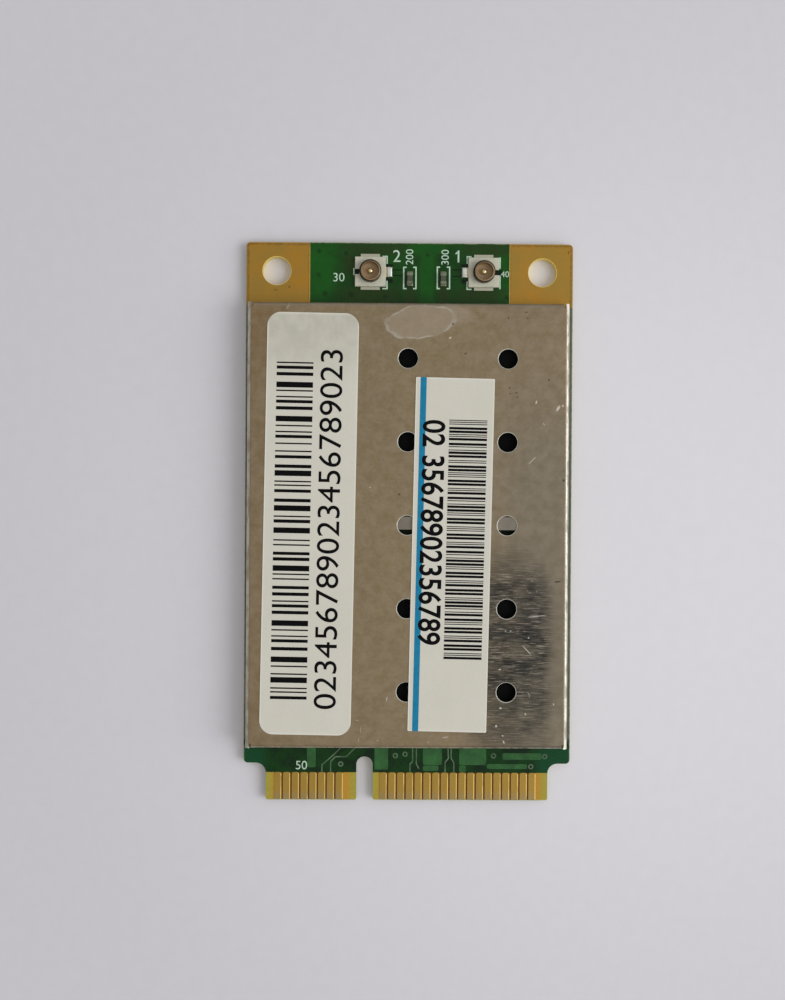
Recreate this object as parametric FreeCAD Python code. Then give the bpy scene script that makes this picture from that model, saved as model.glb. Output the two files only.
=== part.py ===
"""Mini card with a wireless radio under a clip-on metal shield.

Millimetres. X runs across the card, Y along it towards the antenna jacks, Z up from the board.
The origin is the middle of the board's outline, on the board's underside.
"""
import FreeCAD
import Part
import math
import os

from FreeCAD import Vector

# Circuit board
BOARD_WIDTH = 29.75
BOARD_LENGTH = 50.8
BOARD_THICKNESS = 1.0
BOARD_CORNER_R = 0.4
SHOULDER_WIDTH = 2.025
TONGUE_LENGTH = 3.4
TONGUE_FILLET_R = 0.9
TONGUE_CORNER_R = 0.25
TIP_BEVEL = 0.1
KEY_FROM_TONGUE_EDGE = 8.25
KEY_WIDTH = 1.5
KEY_DEPTH = 4.0
MASK_STEP = 0.05

# Gold plating: edge contacts, and the ground pads round the screw holes
PLATING = 0.04
CONTACT_PITCH = 0.8
CONTACT_WIDTH = 0.65
CONTACT_LENGTH = 2.45
CONTACT_CORNER = 0.12
CONTACT_TIP_GAP = 0.1
CONTACT_FIRST = 1.1
CONTACT_STAGGER = 0.4
CONTACT_EDGE_CLEARANCE = 0.5
HOLE_DIAMETER = 2.6
HOLE_FROM_SIDE = 2.775
HOLE_FROM_END = 2.6
HOLE_PLATING = 0.05
MOUNT_PAD_WINDOW = 5.8
MOUNT_PAD_MARGIN = 0.12

# Shield cover, set in from the board's four edges
COVER_HEIGHT = 1.9
COVER_LEFT_MARGIN = 0.285
COVER_RIGHT_MARGIN = 0.475
COVER_JACK_END_MARGIN = 5.66
COVER_CONTACT_END_MARGIN = 5.05
COVER_SHEET = 0.2
COVER_BEND_INNER_R = 0.2
COVER_FOOT_GAP = 0.3
COVER_CORNER_SLIT = 0.1
VENT_DIAMETER = 1.76
VENT_EDGE_ROLL = 0.08
VENT_END_MARGIN = 4.0
VENT_COLUMNS = 2
VENT_COLUMN_PITCH = 9.0
VENT_ROW_PITCH = 7.5
VENT_FIRST_COLUMN_OFFSET = -0.05
VENT_MIDDLE_ROW_OFFSET = 0.05
SNAP_DIAMETER = 0.8
SNAP_DEPTH = 0.16
SNAP_ABOVE_BOARD = 0.85
SNAP_PITCH = 9.8

# Shield frame
FRAME_SHEET = 0.2
FRAME_CLEARANCE = 0.06
FRAME_CORNER_R = 0.8
FRAME_BEND_INNER_R = 0.12
FRAME_LIP = 1.0
FRAME_OPENING_R = 0.5
FRAME_WINDOW_PLAY = 0.1
FRAME_BRIDGE_WIDTH = 1.16
FRAME_BRIDGE_OFFSET = 0.24
FRAME_NOTCH_WIDTH = 2.4
FRAME_NOTCH_HEIGHT = 0.25

# Labels, set in from the cover's edges and turned clockwise in degrees
LABEL_THICKNESS = 0.08
ROUNDED_LABEL_WIDTH = 8.2
ROUNDED_LABEL_LENGTH = 37.9
ROUNDED_LABEL_CORNER_R = 1.2
ROUNDED_LABEL_FROM_LEFT = 1.55
ROUNDED_LABEL_FROM_CONTACT_END = 1.22
ROUNDED_LABEL_TURN = 0.84
STRIPE_LABEL_WIDTH = 7.08
STRIPE_LABEL_LENGTH = 31.8
STRIPE_LABEL_CORNER_R = 0.1
STRIPE_LABEL_FROM_RIGHT = 7.035
STRIPE_LABEL_FROM_CONTACT_END = 1.55
STRIPE_LABEL_TURN = 1.05

# Antenna jacks
JACK_FROM_END = 2.66
JACK_1_X = 6.72
JACK_2_X = -3.6
JACK_HEIGHT = 1.25
JACK_BASE_WIDTH = 2.8
JACK_BASE_LENGTH = 2.7
JACK_BASE_HEIGHT = 0.35
JACK_BASE_EDGE = 0.05
JACK_NOTCH_WIDTH = 0.5
JACK_RING_DIAMETER = 2.0
JACK_RING_WALL = 0.22
JACK_RING_LIP = 0.12
JACK_RING_MOUTH = 0.04
JACK_RING_FOOT = 0.03
JACK_COLLAR_LENGTH = 0.32
JACK_GROOVE_LENGTH = 0.14
JACK_LEG_WIDTH = 1.0
JACK_FOOT_SHEET = 0.12
JACK_FOOT_WIDTH = 1.75
JACK_FOOT_REACH = 0.28
JACK_PIN_DIAMETER = 0.5
JACK_PIN_TOP_GAP = 0.2
JACK_PIN_DOME = 0.15
JACK_TAIL_WIDTH = 0.9
JACK_TAIL_REACH = 0.6

# Chip parts with plated ends: sizes over the plating
CHIP_END_PLATING = 0.03
SMALL_CHIP_LENGTH = 1.0
SMALL_CHIP_WIDTH = 0.52
SMALL_CHIP_HEIGHT = 0.5
SMALL_CHIP_END = 0.25
FILTER_LENGTH = 2.0
FILTER_WIDTH = 1.25
FILTER_HEIGHT = 0.9
FILTER_END = 0.35
INDUCTOR_LENGTH = 2.5
INDUCTOR_WIDTH = 2.0
INDUCTOR_HEIGHT = 1.1
INDUCTOR_END = 0.5

# Square moulded chips on soldered pads: side and height of the body, pads on each side
BASEBAND_SIDE = 13.0
BASEBAND_HEIGHT = 0.95
BASEBAND_PADS = 16
RADIO_SIDE = 9.0
RADIO_HEIGHT = 0.85
RADIO_PADS = 14
AMPLIFIER_SIDE = 5.0
AMPLIFIER_HEIGHT = 0.85
AMPLIFIER_PADS = 6
SWITCH_SIDE = 4.0
SWITCH_HEIGHT = 0.75
SWITCH_PADS = 4
REGULATOR_SIDE = 3.0
REGULATOR_HEIGHT = 0.8
REGULATOR_PADS = 3
CHIP_KEY_CORNER = 0.4
CHIP_PAD_HEIGHT = 0.1
CHIP_PAD_LENGTH = 0.4
CHIP_PAD_WIDTH = 0.28
CHIP_PAD_INSET = 0.8

# Memory chip on bent leads
MEMORY_WIDTH = 3.0
MEMORY_LENGTH = 3.0
MEMORY_HEIGHT = 0.85
MEMORY_STANDOFF = 0.1
MEMORY_LEADS_PER_SIDE = 4
MEMORY_LEAD_PITCH = 0.65
MEMORY_LEAD_WIDTH = 0.3
MEMORY_LEAD_SHEET = 0.15
MEMORY_LEAD_RISE = 0.4
MEMORY_LEAD_OUT = 0.35
MEMORY_LEAD_FOOT = 0.45

# Crystal
CRYSTAL_WIDTH = 2.5
CRYSTAL_LENGTH = 3.2
CRYSTAL_BASE_HEIGHT = 0.4
CRYSTAL_LID_HEIGHT = 0.3
CRYSTAL_LID_INSET = 0.2
CRYSTAL_CORNER_R = 0.3

# Places of the parts: across from the middle of the board or cover, along from the nearer end
PORT_CAPACITOR_1_X = 0.0
PORT_CAPACITOR_2_X = 3.05
PORT_CAPACITOR_FROM_END = 3.25
AMPLIFIER_1_X = -0.1
AMPLIFIER_2_X = 9.0
AMPLIFIER_FROM_END = 4.6
FILTER_1_X = -4.9
FILTER_2_X = 4.4
FILTER_FROM_END = 3.0
RADIO_X = 0.0
RADIO_FROM_END = 12.4
SWITCH_X = 9.0
SWITCH_FROM_END = 12.2
CRYSTAL_X = -8.5
CRYSTAL_FROM_END = 11.5
BASEBAND_X = -0.6
BASEBAND_FROM_END = 8.0
MEMORY_X = 9.3
MEMORY_FROM_END = 12.3
REGULATOR_X = 9.0
REGULATOR_FROM_END = 4.8
INDUCTOR_X = 9.9
INDUCTOR_FROM_END = 8.2
CAPACITOR_ROW_X = -8.8
RESISTOR_ROW_X = -10.8
SMALL_CHIP_ROW_FROM_END = 3.0
SMALL_CHIP_PITCH = 1.4
SMALL_CHIPS_IN_ROW = 8

# Levels and edges worked out from the sizes above
BOARD_SIDE = BOARD_WIDTH / 2
BOARD_END = BOARD_LENGTH / 2
BOARD_TOP = BOARD_THICKNESS
TONGUE_SIDE = BOARD_SIDE - SHOULDER_WIDTH
KEY_LEFT = KEY_FROM_TONGUE_EDGE - TONGUE_SIDE
KEY_RIGHT = KEY_LEFT + KEY_WIDTH
CONTACT_TIP = CONTACT_TIP_GAP - BOARD_END
MASK_EDGE = CONTACT_TIP + CONTACT_LENGTH
HOLE_X = BOARD_SIDE - HOLE_FROM_SIDE
HOLE_Y = BOARD_END - HOLE_FROM_END
HOLE_RADIUS = HOLE_DIAMETER / 2
COVER_TOP = BOARD_TOP + COVER_HEIGHT
COVER_UNDER = COVER_TOP - COVER_SHEET
COVER_BEND_R = COVER_BEND_INNER_R + COVER_SHEET
COVER_X0 = COVER_LEFT_MARGIN - BOARD_SIDE
COVER_X1 = BOARD_SIDE - COVER_RIGHT_MARGIN
COVER_Y0 = COVER_CONTACT_END_MARGIN - BOARD_END
COVER_Y1 = BOARD_END - COVER_JACK_END_MARGIN
COVER_X = (COVER_X0 + COVER_X1) / 2
COVER_Y = (COVER_Y0 + COVER_Y1) / 2
FRAME_INSET = COVER_SHEET + FRAME_CLEARANCE
FRAME_X0 = COVER_X0 + FRAME_INSET
FRAME_X1 = COVER_X1 - FRAME_INSET
FRAME_Y0 = COVER_Y0 + FRAME_INSET
FRAME_Y1 = COVER_Y1 - FRAME_INSET
FRAME_ROOF = COVER_UNDER - FRAME_SHEET
UP = Vector(0, 0, 1)
ORIGIN = Vector(0, 0, 0)
NEAR = 1e-6


def block(corner, opposite):
    """Box between two opposite corners, given as (x, y, z) in any order."""
    low = [min(pair) for pair in zip(corner, opposite)]
    high = [max(pair) for pair in zip(corner, opposite)]
    size = [high[i] - low[i] for i in range(3)]
    return Part.makeBox(size[0], size[1], size[2], Vector(*low))


def standing_block(x, y, z, width, length, height):
    """Box that stands on the level z, centred on x and y."""
    return Part.makeBox(width, length, height, Vector(x - width / 2, y - length / 2, z))


def prism(points, travel):
    """Solid swept from a flat polygon of vectors along the travel vector."""
    return Part.Face(Part.makePolygon(points + points[:1])).extrude(travel)


def rounded_face(corners, z=0.0):
    """Flat face through corners (x, y, radius), each corner rounded by a tangent arc."""
    points = [Vector(x, y, z) for x, y, _ in corners]
    edges = []
    ends = []
    for i, (_, _, radius) in enumerate(corners):
        back = (points[i - 1] - points[i]).normalize()
        ahead = (points[(i + 1) % len(points)] - points[i]).normalize()
        half = back.getAngle(ahead) / 2
        tangent = radius / math.tan(half)
        start = points[i] + back * tangent
        end = points[i] + ahead * tangent
        ends.append((start, end))
        if radius > 0:
            inward = (back + ahead).normalize()
            middle = points[i] + inward * (radius / math.sin(half) - radius)
            edges.append(Part.Arc(start, middle, end).toShape())
    for i, (_, leave) in enumerate(ends):
        arrive = ends[(i + 1) % len(ends)][0]
        if leave.distanceToPoint(arrive) > NEAR:
            edges.append(Part.LineSegment(leave, arrive).toShape())
    return Part.Face(Part.Wire(Part.__sortEdges__(edges)))


def rounded_block(low, high, radius):
    """Upright block between two opposite corners with its four upright edges rounded."""
    corners = [
        (low[0], low[1], radius),
        (high[0], low[1], radius),
        (high[0], high[1], radius),
        (low[0], high[1], radius),
    ]
    return rounded_face(corners, low[2]).extrude(Vector(0, 0, high[2] - low[2]))


def edges_at(shape, z):
    """Edges of a shape that lie flat at the level z."""
    boxes = [(edge, edge.BoundBox) for edge in shape.Edges]
    return [edge for edge, box in boxes if abs(box.ZMin - z) < NEAR and abs(box.ZMax - z) < NEAR]


def spread(count, pitch):
    """Positions of count things at a pitch, centred on zero."""
    return [(i - (count - 1) / 2) * pitch for i in range(count)]


def turned(shape, turn, x, y, z=0.0):
    """Turn a shape about the upright axis and then move it to its place."""
    shape.rotate(ORIGIN, UP, turn)
    shape.translate(Vector(x, y, z))
    return shape


def board_outline():
    """Corners of the board: a wide body, the contact tongue and its off-centre key slot."""
    shoulder = TONGUE_LENGTH - BOARD_END
    key_end = KEY_DEPTH - BOARD_END
    return [
        (-BOARD_SIDE, BOARD_END, BOARD_CORNER_R),
        (BOARD_SIDE, BOARD_END, BOARD_CORNER_R),
        (BOARD_SIDE, shoulder, BOARD_CORNER_R),
        (TONGUE_SIDE, shoulder, TONGUE_FILLET_R),
        (TONGUE_SIDE, -BOARD_END, TONGUE_CORNER_R),
        (KEY_RIGHT, -BOARD_END, TONGUE_CORNER_R),
        (KEY_RIGHT, key_end, KEY_WIDTH / 2),
        (KEY_LEFT, key_end, KEY_WIDTH / 2),
        (KEY_LEFT, -BOARD_END, TONGUE_CORNER_R),
        (-TONGUE_SIDE, -BOARD_END, TONGUE_CORNER_R),
        (-TONGUE_SIDE, shoulder, TONGUE_FILLET_R),
        (-BOARD_SIDE, shoulder, BOARD_CORNER_R),
    ]


def face_levels():
    """For the upper and the lower face: level of the bare laminate, and which way is out."""
    return [(BOARD_TOP - MASK_STEP, 1), (MASK_STEP, -1)]


def bare_windows():
    """Unmasked places on both faces: the contact strip and the two corners at the jack end."""
    windows = []
    for level, out in face_levels():
        far = level + out * MASK_STEP
        windows.append(block((-TONGUE_SIDE, -BOARD_END, level), (TONGUE_SIDE, MASK_EDGE, far)))
        for side in (-1, 1):
            inner = (side * (BOARD_SIDE - MOUNT_PAD_WINDOW), BOARD_END - MOUNT_PAD_WINDOW, level)
            windows.append(block(inner, (side * BOARD_SIDE, BOARD_END, far)))
    return windows


def tip_bevels():
    """Wedges that ease the two long edges of the tongue's tip."""
    wedges = []
    for level, out in face_levels():
        corners = [(0, 0), (TIP_BEVEL, 0), (0, -out * TIP_BEVEL)]
        points = [Vector(-TONGUE_SIDE, y - BOARD_END, level + z) for y, z in corners]
        wedges.append(prism(points, Vector(2 * TONGUE_SIDE, 0, 0)))
    return wedges


def hole_bar(side, radius):
    """Round bar through the board at one screw hole."""
    return Part.makeCylinder(radius, BOARD_THICKNESS, Vector(side * HOLE_X, HOLE_Y, 0))


def circuit_board():
    """Masked board with its tongue, windows for the plating and two drilled holes."""
    drills = [hole_bar(side, HOLE_RADIUS + HOLE_PLATING) for side in (-1, 1)]
    body = rounded_face(board_outline()).extrude(Vector(0, 0, BOARD_THICKNESS))
    return body.cut(bare_windows() + tip_bevels() + drills)


def contact_places(first):
    """Centres of the contacts that stay clear of the tongue's sides and of the key slot."""
    room = CONTACT_WIDTH / 2 + CONTACT_EDGE_CLEARANCE
    places = []
    for i in range(int(2 * TONGUE_SIDE / CONTACT_PITCH)):
        x = first + i * CONTACT_PITCH - TONGUE_SIDE
        clear_of_key = x + room < KEY_LEFT or x - room > KEY_RIGHT
        if clear_of_key and x + room < TONGUE_SIDE:
            places.append(x)
    return places


def edge_contacts(first, level, out):
    """Row of gold contacts on one face of the tongue, clipped at their inner corners."""
    half = CONTACT_WIDTH / 2
    outline = [
        (-half, CONTACT_TIP),
        (half, CONTACT_TIP),
        (half, MASK_EDGE - CONTACT_CORNER),
        (half - CONTACT_CORNER, MASK_EDGE),
        (CONTACT_CORNER - half, MASK_EDGE),
        (-half, MASK_EDGE - CONTACT_CORNER),
    ]
    contacts = []
    for x in contact_places(first):
        points = [Vector(x + u, y, level) for u, y in outline]
        contacts.append(prism(points, Vector(0, 0, out * PLATING)))
    return Part.makeCompound(contacts)


def mount_pad(side):
    """Plating of one screw hole: a square pad on each face joined by the hole's barrel."""
    pad = hole_bar(side, HOLE_RADIUS + HOLE_PLATING)
    for level, out in face_levels():
        inner = (side * (BOARD_SIDE - MOUNT_PAD_WINDOW), BOARD_END - MOUNT_PAD_WINDOW, level)
        outer = (side * (BOARD_SIDE - MOUNT_PAD_MARGIN), BOARD_END - MOUNT_PAD_MARGIN, level + out * PLATING)
        pad = pad.fuse(block(inner, outer))
    recess = MASK_STEP - PLATING
    between = standing_block(0, 0, recess, BOARD_WIDTH, BOARD_LENGTH, BOARD_TOP - 2 * recess)
    return pad.common(between).cut(hole_bar(side, HOLE_RADIUS)).removeSplitter()


def shield_sides():
    """For each side of the shield: turn about Z, distance of its face, length and snap count."""
    width = COVER_X1 - COVER_X0
    length = COVER_Y1 - COVER_Y0
    sides = []
    for turn, distance, run in ((0, width, length), (90, length, width)):
        snaps = round(run / SNAP_PITCH)
        sides.append((turn, distance / 2, run, snaps))
        sides.append((turn + 180, distance / 2, run, snaps))
    return sides


def snap_cap(face, y):
    """Shallow ball cap for a pressed dimple, from a face of the +X side inwards."""
    z = BOARD_TOP + SNAP_ABOVE_BOARD
    mouth = SNAP_DIAMETER / 2
    ball = (mouth * mouth + SNAP_DEPTH * SNAP_DEPTH) / (2 * SNAP_DEPTH)
    centre = Vector(face - SNAP_DEPTH + ball, y, z)
    inside = block((face - SNAP_DEPTH, y - mouth, z - mouth), (face, y + mouth, z + mouth))
    return Part.makeSphere(ball, centre).common(inside)


def bent_side(distance, run, length, snaps):
    """One side of the cover, made on +X: quarter bend and skirt over the run, with pressed dimples."""
    bend_line = distance - COVER_BEND_R
    level = COVER_TOP - COVER_BEND_R
    inner = distance - COVER_SHEET
    end = run / 2
    axis = Vector(bend_line, -end, level)
    bar = Part.makeCylinder(COVER_BEND_R, 2 * end, axis, Vector(0, 1, 0))
    bore = Part.makeCylinder(COVER_BEND_INNER_R, 2 * end, axis, Vector(0, 1, 0))
    quarter = block((bend_line, -end, level), (distance, end, COVER_TOP))
    skirt = block((inner, -end, BOARD_TOP + COVER_FOOT_GAP), (distance, end, level))
    side = skirt.fuse(bar.common(quarter).cut(bore))
    for y in spread(snaps, length / snaps):
        side = side.fuse(snap_cap(inner, y)).cut(snap_cap(distance, y))
    return side


def vent_punches():
    """Punches for the vent holes, each with the rolled edge that the punch leaves on top."""
    radius = VENT_DIAMETER / 2
    rows = int((COVER_Y1 - COVER_Y0 - 2 * VENT_END_MARGIN) / VENT_ROW_PITCH) + 1
    punches = []
    for column in range(VENT_COLUMNS):
        x = COVER_X + VENT_FIRST_COLUMN_OFFSET + column * VENT_COLUMN_PITCH
        for row in spread(rows, VENT_ROW_PITCH):
            y = COVER_Y + VENT_MIDDLE_ROW_OFFSET + row
            punches.append(Part.makeCylinder(radius, COVER_SHEET, Vector(x, y, COVER_UNDER)))
            roll_foot = Vector(x, y, COVER_TOP - VENT_EDGE_ROLL)
            punches.append(Part.makeCone(radius, radius + VENT_EDGE_ROLL, VENT_EDGE_ROLL, roll_foot))
    return punches


def shield_cover():
    """Cover folded from one sheet: four bent sides, slit corners and punched vents."""
    cover = block(
        (COVER_X0 + COVER_BEND_R, COVER_Y0 + COVER_BEND_R, COVER_UNDER),
        (COVER_X1 - COVER_BEND_R, COVER_Y1 - COVER_BEND_R, COVER_TOP),
    )
    setback = 2 * (COVER_BEND_R + COVER_CORNER_SLIT)
    for turn, distance, length, snaps in shield_sides():
        run = length if turn % 180 == 0 else length - setback
        cover = cover.fuse(turned(bent_side(distance, run, length, snaps), turn, COVER_X, COVER_Y))
    return cover.cut(vent_punches()).removeSplitter()


def frame_ring():
    """Drawn ring with rounded corners and a lip turned inwards under the cover."""
    outer = rounded_block((FRAME_X0, FRAME_Y0, BOARD_TOP), (FRAME_X1, FRAME_Y1, COVER_UNDER), FRAME_CORNER_R)
    outer = outer.makeFillet(FRAME_BEND_INNER_R + FRAME_SHEET, edges_at(outer, COVER_UNDER))
    inner = rounded_block(
        (FRAME_X0 + FRAME_SHEET, FRAME_Y0 + FRAME_SHEET, BOARD_TOP),
        (FRAME_X1 - FRAME_SHEET, FRAME_Y1 - FRAME_SHEET, FRAME_ROOF),
        FRAME_CORNER_R - FRAME_SHEET,
    )
    inner = inner.makeFillet(FRAME_BEND_INNER_R, edges_at(inner, FRAME_ROOF))
    opening = rounded_block(
        (FRAME_X0 + FRAME_LIP, FRAME_Y0 + FRAME_LIP, FRAME_ROOF),
        (FRAME_X1 - FRAME_LIP, FRAME_Y1 - FRAME_LIP, COVER_UNDER),
        FRAME_OPENING_R,
    )
    return outer.cut([inner, opening])


def frame_cuts():
    """Square windows that take the cover's dimples, and notches in the foot between them."""
    half = SNAP_DIAMETER / 2 + FRAME_WINDOW_PLAY
    middle = BOARD_TOP + SNAP_ABOVE_BOARD
    cuts = []
    for turn, distance, length, snaps in shield_sides():
        outer = distance - FRAME_INSET
        inner = outer - FRAME_SHEET
        pitch = length / snaps
        for y in spread(snaps, pitch):
            window = block((inner, y - half, middle - half), (outer, y + half, middle + half))
            cuts.append(turned(window, turn, COVER_X, COVER_Y))
        for y in spread(snaps - 1, pitch):
            low = (inner, y - FRAME_NOTCH_WIDTH / 2, BOARD_TOP)
            high = (outer, y + FRAME_NOTCH_WIDTH / 2, BOARD_TOP + FRAME_NOTCH_HEIGHT)
            cuts.append(turned(block(low, high), turn, COVER_X, COVER_Y))
    return cuts


def shield_frame():
    """Soldered frame: ring, cross bar, windows for the snaps and notches in its foot."""
    bridge_y = COVER_Y + FRAME_BRIDGE_OFFSET
    bridge = block(
        (FRAME_X0 + FRAME_LIP, bridge_y - FRAME_BRIDGE_WIDTH / 2, FRAME_ROOF),
        (FRAME_X1 - FRAME_LIP, bridge_y + FRAME_BRIDGE_WIDTH / 2, COVER_UNDER),
    )
    return frame_ring().fuse(bridge).cut(frame_cuts()).removeSplitter()


def label(width, length, radius, x, y, turn):
    """Paper label centred on x and y, flat on the cover and turned clockwise."""
    sheet = rounded_block((-width / 2, -length / 2, 0), (width / 2, length / 2, LABEL_THICKNESS), radius)
    return turned(sheet, -turn, x, y, COVER_TOP)


def rounded_label():
    """Long label with rounded corners near the cover's left edge."""
    x = COVER_X0 + ROUNDED_LABEL_FROM_LEFT + ROUNDED_LABEL_WIDTH / 2
    y = COVER_Y0 + ROUNDED_LABEL_FROM_CONTACT_END + ROUNDED_LABEL_LENGTH / 2
    return label(
        ROUNDED_LABEL_WIDTH, ROUNDED_LABEL_LENGTH, ROUNDED_LABEL_CORNER_R, x, y, ROUNDED_LABEL_TURN
    )


def stripe_label():
    """Narrow label between the two columns of vents."""
    x = COVER_X1 - STRIPE_LABEL_FROM_RIGHT - STRIPE_LABEL_WIDTH / 2
    y = COVER_Y0 + STRIPE_LABEL_FROM_CONTACT_END + STRIPE_LABEL_LENGTH / 2
    return label(STRIPE_LABEL_WIDTH, STRIPE_LABEL_LENGTH, STRIPE_LABEL_CORNER_R, x, y, STRIPE_LABEL_TURN)


def jack_pin():
    """Centre pin with a domed tip and the flat tail that is soldered outside the base."""
    radius = JACK_PIN_DIAMETER / 2
    top = JACK_HEIGHT - JACK_PIN_TOP_GAP
    shoulder = top - JACK_PIN_DOME
    ball = (radius * radius + JACK_PIN_DOME * JACK_PIN_DOME) / (2 * JACK_PIN_DOME)
    dome = Part.makeSphere(ball, Vector(0, 0, top - ball))
    post = Part.makeCylinder(radius, shoulder)
    tip = dome.common(Part.makeCylinder(radius, JACK_PIN_DOME, Vector(0, 0, shoulder)))
    reach = JACK_BASE_WIDTH / 2 + JACK_TAIL_REACH
    tail = block((0, -JACK_TAIL_WIDTH / 2, 0), (reach, JACK_TAIL_WIDTH / 2, JACK_FOOT_SHEET))
    return post.fuse([tip, tail])


def jack_ring():
    """Turned ground ring: collar eased at its foot, V-shaped snap groove and an eased lip."""
    outer = JACK_RING_DIAMETER / 2
    inner = outer - JACK_RING_WALL
    groove_half = JACK_GROOVE_LENGTH / 2
    groove = JACK_BASE_HEIGHT + JACK_COLLAR_LENGTH + groove_half
    section = [
        (inner, JACK_BASE_HEIGHT),
        (outer - JACK_RING_FOOT, JACK_BASE_HEIGHT),
        (outer, JACK_BASE_HEIGHT + JACK_RING_FOOT),
        (outer, groove - groove_half),
        (outer - groove_half, groove),
        (outer, groove + groove_half),
        (outer, JACK_HEIGHT - JACK_RING_LIP),
        (outer - JACK_RING_LIP, JACK_HEIGHT),
        (inner + JACK_RING_MOUTH, JACK_HEIGHT),
        (inner, JACK_HEIGHT - JACK_RING_MOUTH),
    ]
    points = [Vector(radius, 0, z) for radius, z in section]
    return Part.Face(Part.makePolygon(points + points[:1])).revolve(ORIGIN, UP, 360)


def jack_shell():
    """Ground ring with two flat legs down through the base and feet soldered beside it."""
    foot_radius = JACK_RING_DIAMETER / 2 - JACK_RING_FOOT
    half = JACK_LEG_WIDTH / 2
    outer = math.sqrt(foot_radius * foot_radius - half * half)
    inner = outer - JACK_FOOT_SHEET
    reach = JACK_BASE_LENGTH / 2 + JACK_FOOT_REACH
    shell = jack_ring()
    for way in (-1, 1):
        leg = block((-half, way * inner, 0), (half, way * outer, JACK_BASE_HEIGHT))
        foot = block(
            (-JACK_FOOT_WIDTH / 2, way * inner, 0),
            (JACK_FOOT_WIDTH / 2, way * reach, JACK_FOOT_SHEET),
        )
        shell = shell.fuse([leg, foot])
    return shell


def jack_base():
    """Moulded base with an open notch opposite the tail, formed round the metal parts."""
    body = standing_block(0, 0, 0, JACK_BASE_WIDTH, JACK_BASE_LENGTH, JACK_BASE_HEIGHT)
    body = body.makeChamfer(JACK_BASE_EDGE, edges_at(body, JACK_BASE_HEIGHT))
    notch = block(
        (-JACK_BASE_WIDTH / 2, -JACK_NOTCH_WIDTH / 2, 0),
        (-JACK_RING_DIAMETER / 2, JACK_NOTCH_WIDTH / 2, JACK_BASE_HEIGHT),
    )
    return body.cut([notch, jack_pin(), jack_shell()])


def plated_chip(length, width, height, end):
    """Ceramic chip along X with plated ends: its body and the list of its two ends."""
    wall = CHIP_END_PLATING
    body = standing_block(0, 0, wall, length - 2 * wall, width - 2 * wall, height - 2 * wall)
    ends = []
    for way in (-1, 1):
        ends.append(standing_block(way * (length - end) / 2, 0, 0, end, width, height).cut(body))
    return body, ends


def on_board(pieces, turn, place):
    """Turn a body and its list of metal pieces and stand them on the board: body and group."""
    body, metal = pieces
    for shape in [body] + metal:
        turned(shape, turn, place[0], place[1], BOARD_TOP)
    return body, Part.makeCompound(metal)


def pad_chip(side, height, count):
    """Moulded square chip with a clipped corner, on a ring of soldered pads: body and pads."""
    half = side / 2
    corners = [
        (-half, -half),
        (half, -half),
        (half, half),
        (CHIP_KEY_CORNER - half, half),
        (-half, half - CHIP_KEY_CORNER),
    ]
    body = prism([Vector(u, v, CHIP_PAD_HEIGHT) for u, v in corners], Vector(0, 0, height))
    pitch = (side - 2 * CHIP_PAD_INSET) / (count - 1)
    pads = []
    for turn in (0, 90, 180, 270):
        for along in spread(count, pitch):
            low = (half - CHIP_PAD_LENGTH, along - CHIP_PAD_WIDTH / 2, 0)
            pad = block(low, (half, along + CHIP_PAD_WIDTH / 2, CHIP_PAD_HEIGHT))
            pads.append(turned(pad, turn, 0, 0))
    return body, pads


def memory_chip():
    """Moulded chip held above the board by bent leads on two sides: body and leads."""
    body = standing_block(0, 0, MEMORY_STANDOFF, MEMORY_WIDTH, MEMORY_LENGTH, MEMORY_HEIGHT)
    shoulder = MEMORY_STANDOFF + MEMORY_LEAD_RISE
    riser = MEMORY_LEAD_OUT + MEMORY_LEAD_SHEET
    toe = MEMORY_LEAD_OUT + MEMORY_LEAD_FOOT
    section = [
        (0, shoulder),
        (MEMORY_LEAD_OUT, shoulder),
        (MEMORY_LEAD_OUT, 0),
        (toe, 0),
        (toe, MEMORY_LEAD_SHEET),
        (riser, MEMORY_LEAD_SHEET),
        (riser, shoulder + MEMORY_LEAD_SHEET),
        (0, shoulder + MEMORY_LEAD_SHEET),
    ]
    leads = []
    for turn in (0, 180):
        for along in spread(MEMORY_LEADS_PER_SIDE, MEMORY_LEAD_PITCH):
            start = along - MEMORY_LEAD_WIDTH / 2
            points = [Vector(MEMORY_WIDTH / 2 + u, start, w) for u, w in section]
            leads.append(turned(prism(points, Vector(0, MEMORY_LEAD_WIDTH, 0)), turn, 0, 0))
    return body, leads


def crystal():
    """Crystal in a ceramic tray with a welded metal lid: tray and lid."""
    x = CRYSTAL_WIDTH / 2
    y = CRYSTAL_LENGTH / 2
    lid_x = x - CRYSTAL_LID_INSET
    lid_y = y - CRYSTAL_LID_INSET
    lid_top = CRYSTAL_BASE_HEIGHT + CRYSTAL_LID_HEIGHT
    tray = rounded_block((-x, -y, 0), (x, y, CRYSTAL_BASE_HEIGHT), CRYSTAL_CORNER_R)
    lid = rounded_block((-lid_x, -lid_y, CRYSTAL_BASE_HEIGHT), (lid_x, lid_y, lid_top), CRYSTAL_CORNER_R)
    return tray, [lid]


def small_chip():
    """Smallest plated chip, used for capacitors and resistors."""
    return plated_chip(SMALL_CHIP_LENGTH, SMALL_CHIP_WIDTH, SMALL_CHIP_HEIGHT, SMALL_CHIP_END)


def chip_row(x):
    """Row of small chips side by side near the contact end: group of bodies and group of ends."""
    bodies = []
    ends = []
    for i in range(SMALL_CHIPS_IN_ROW):
        place = contact_side(x, SMALL_CHIP_ROW_FROM_END + i * SMALL_CHIP_PITCH)
        body, caps = on_board(small_chip(), 0, place)
        bodies.append(body)
        ends += caps.Solids
    return Part.makeCompound(bodies), Part.makeCompound(ends)


def jack_side(x, from_end):
    """Place under the cover, measured from the frame's jack end."""
    return COVER_X + x, FRAME_Y1 - from_end


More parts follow.
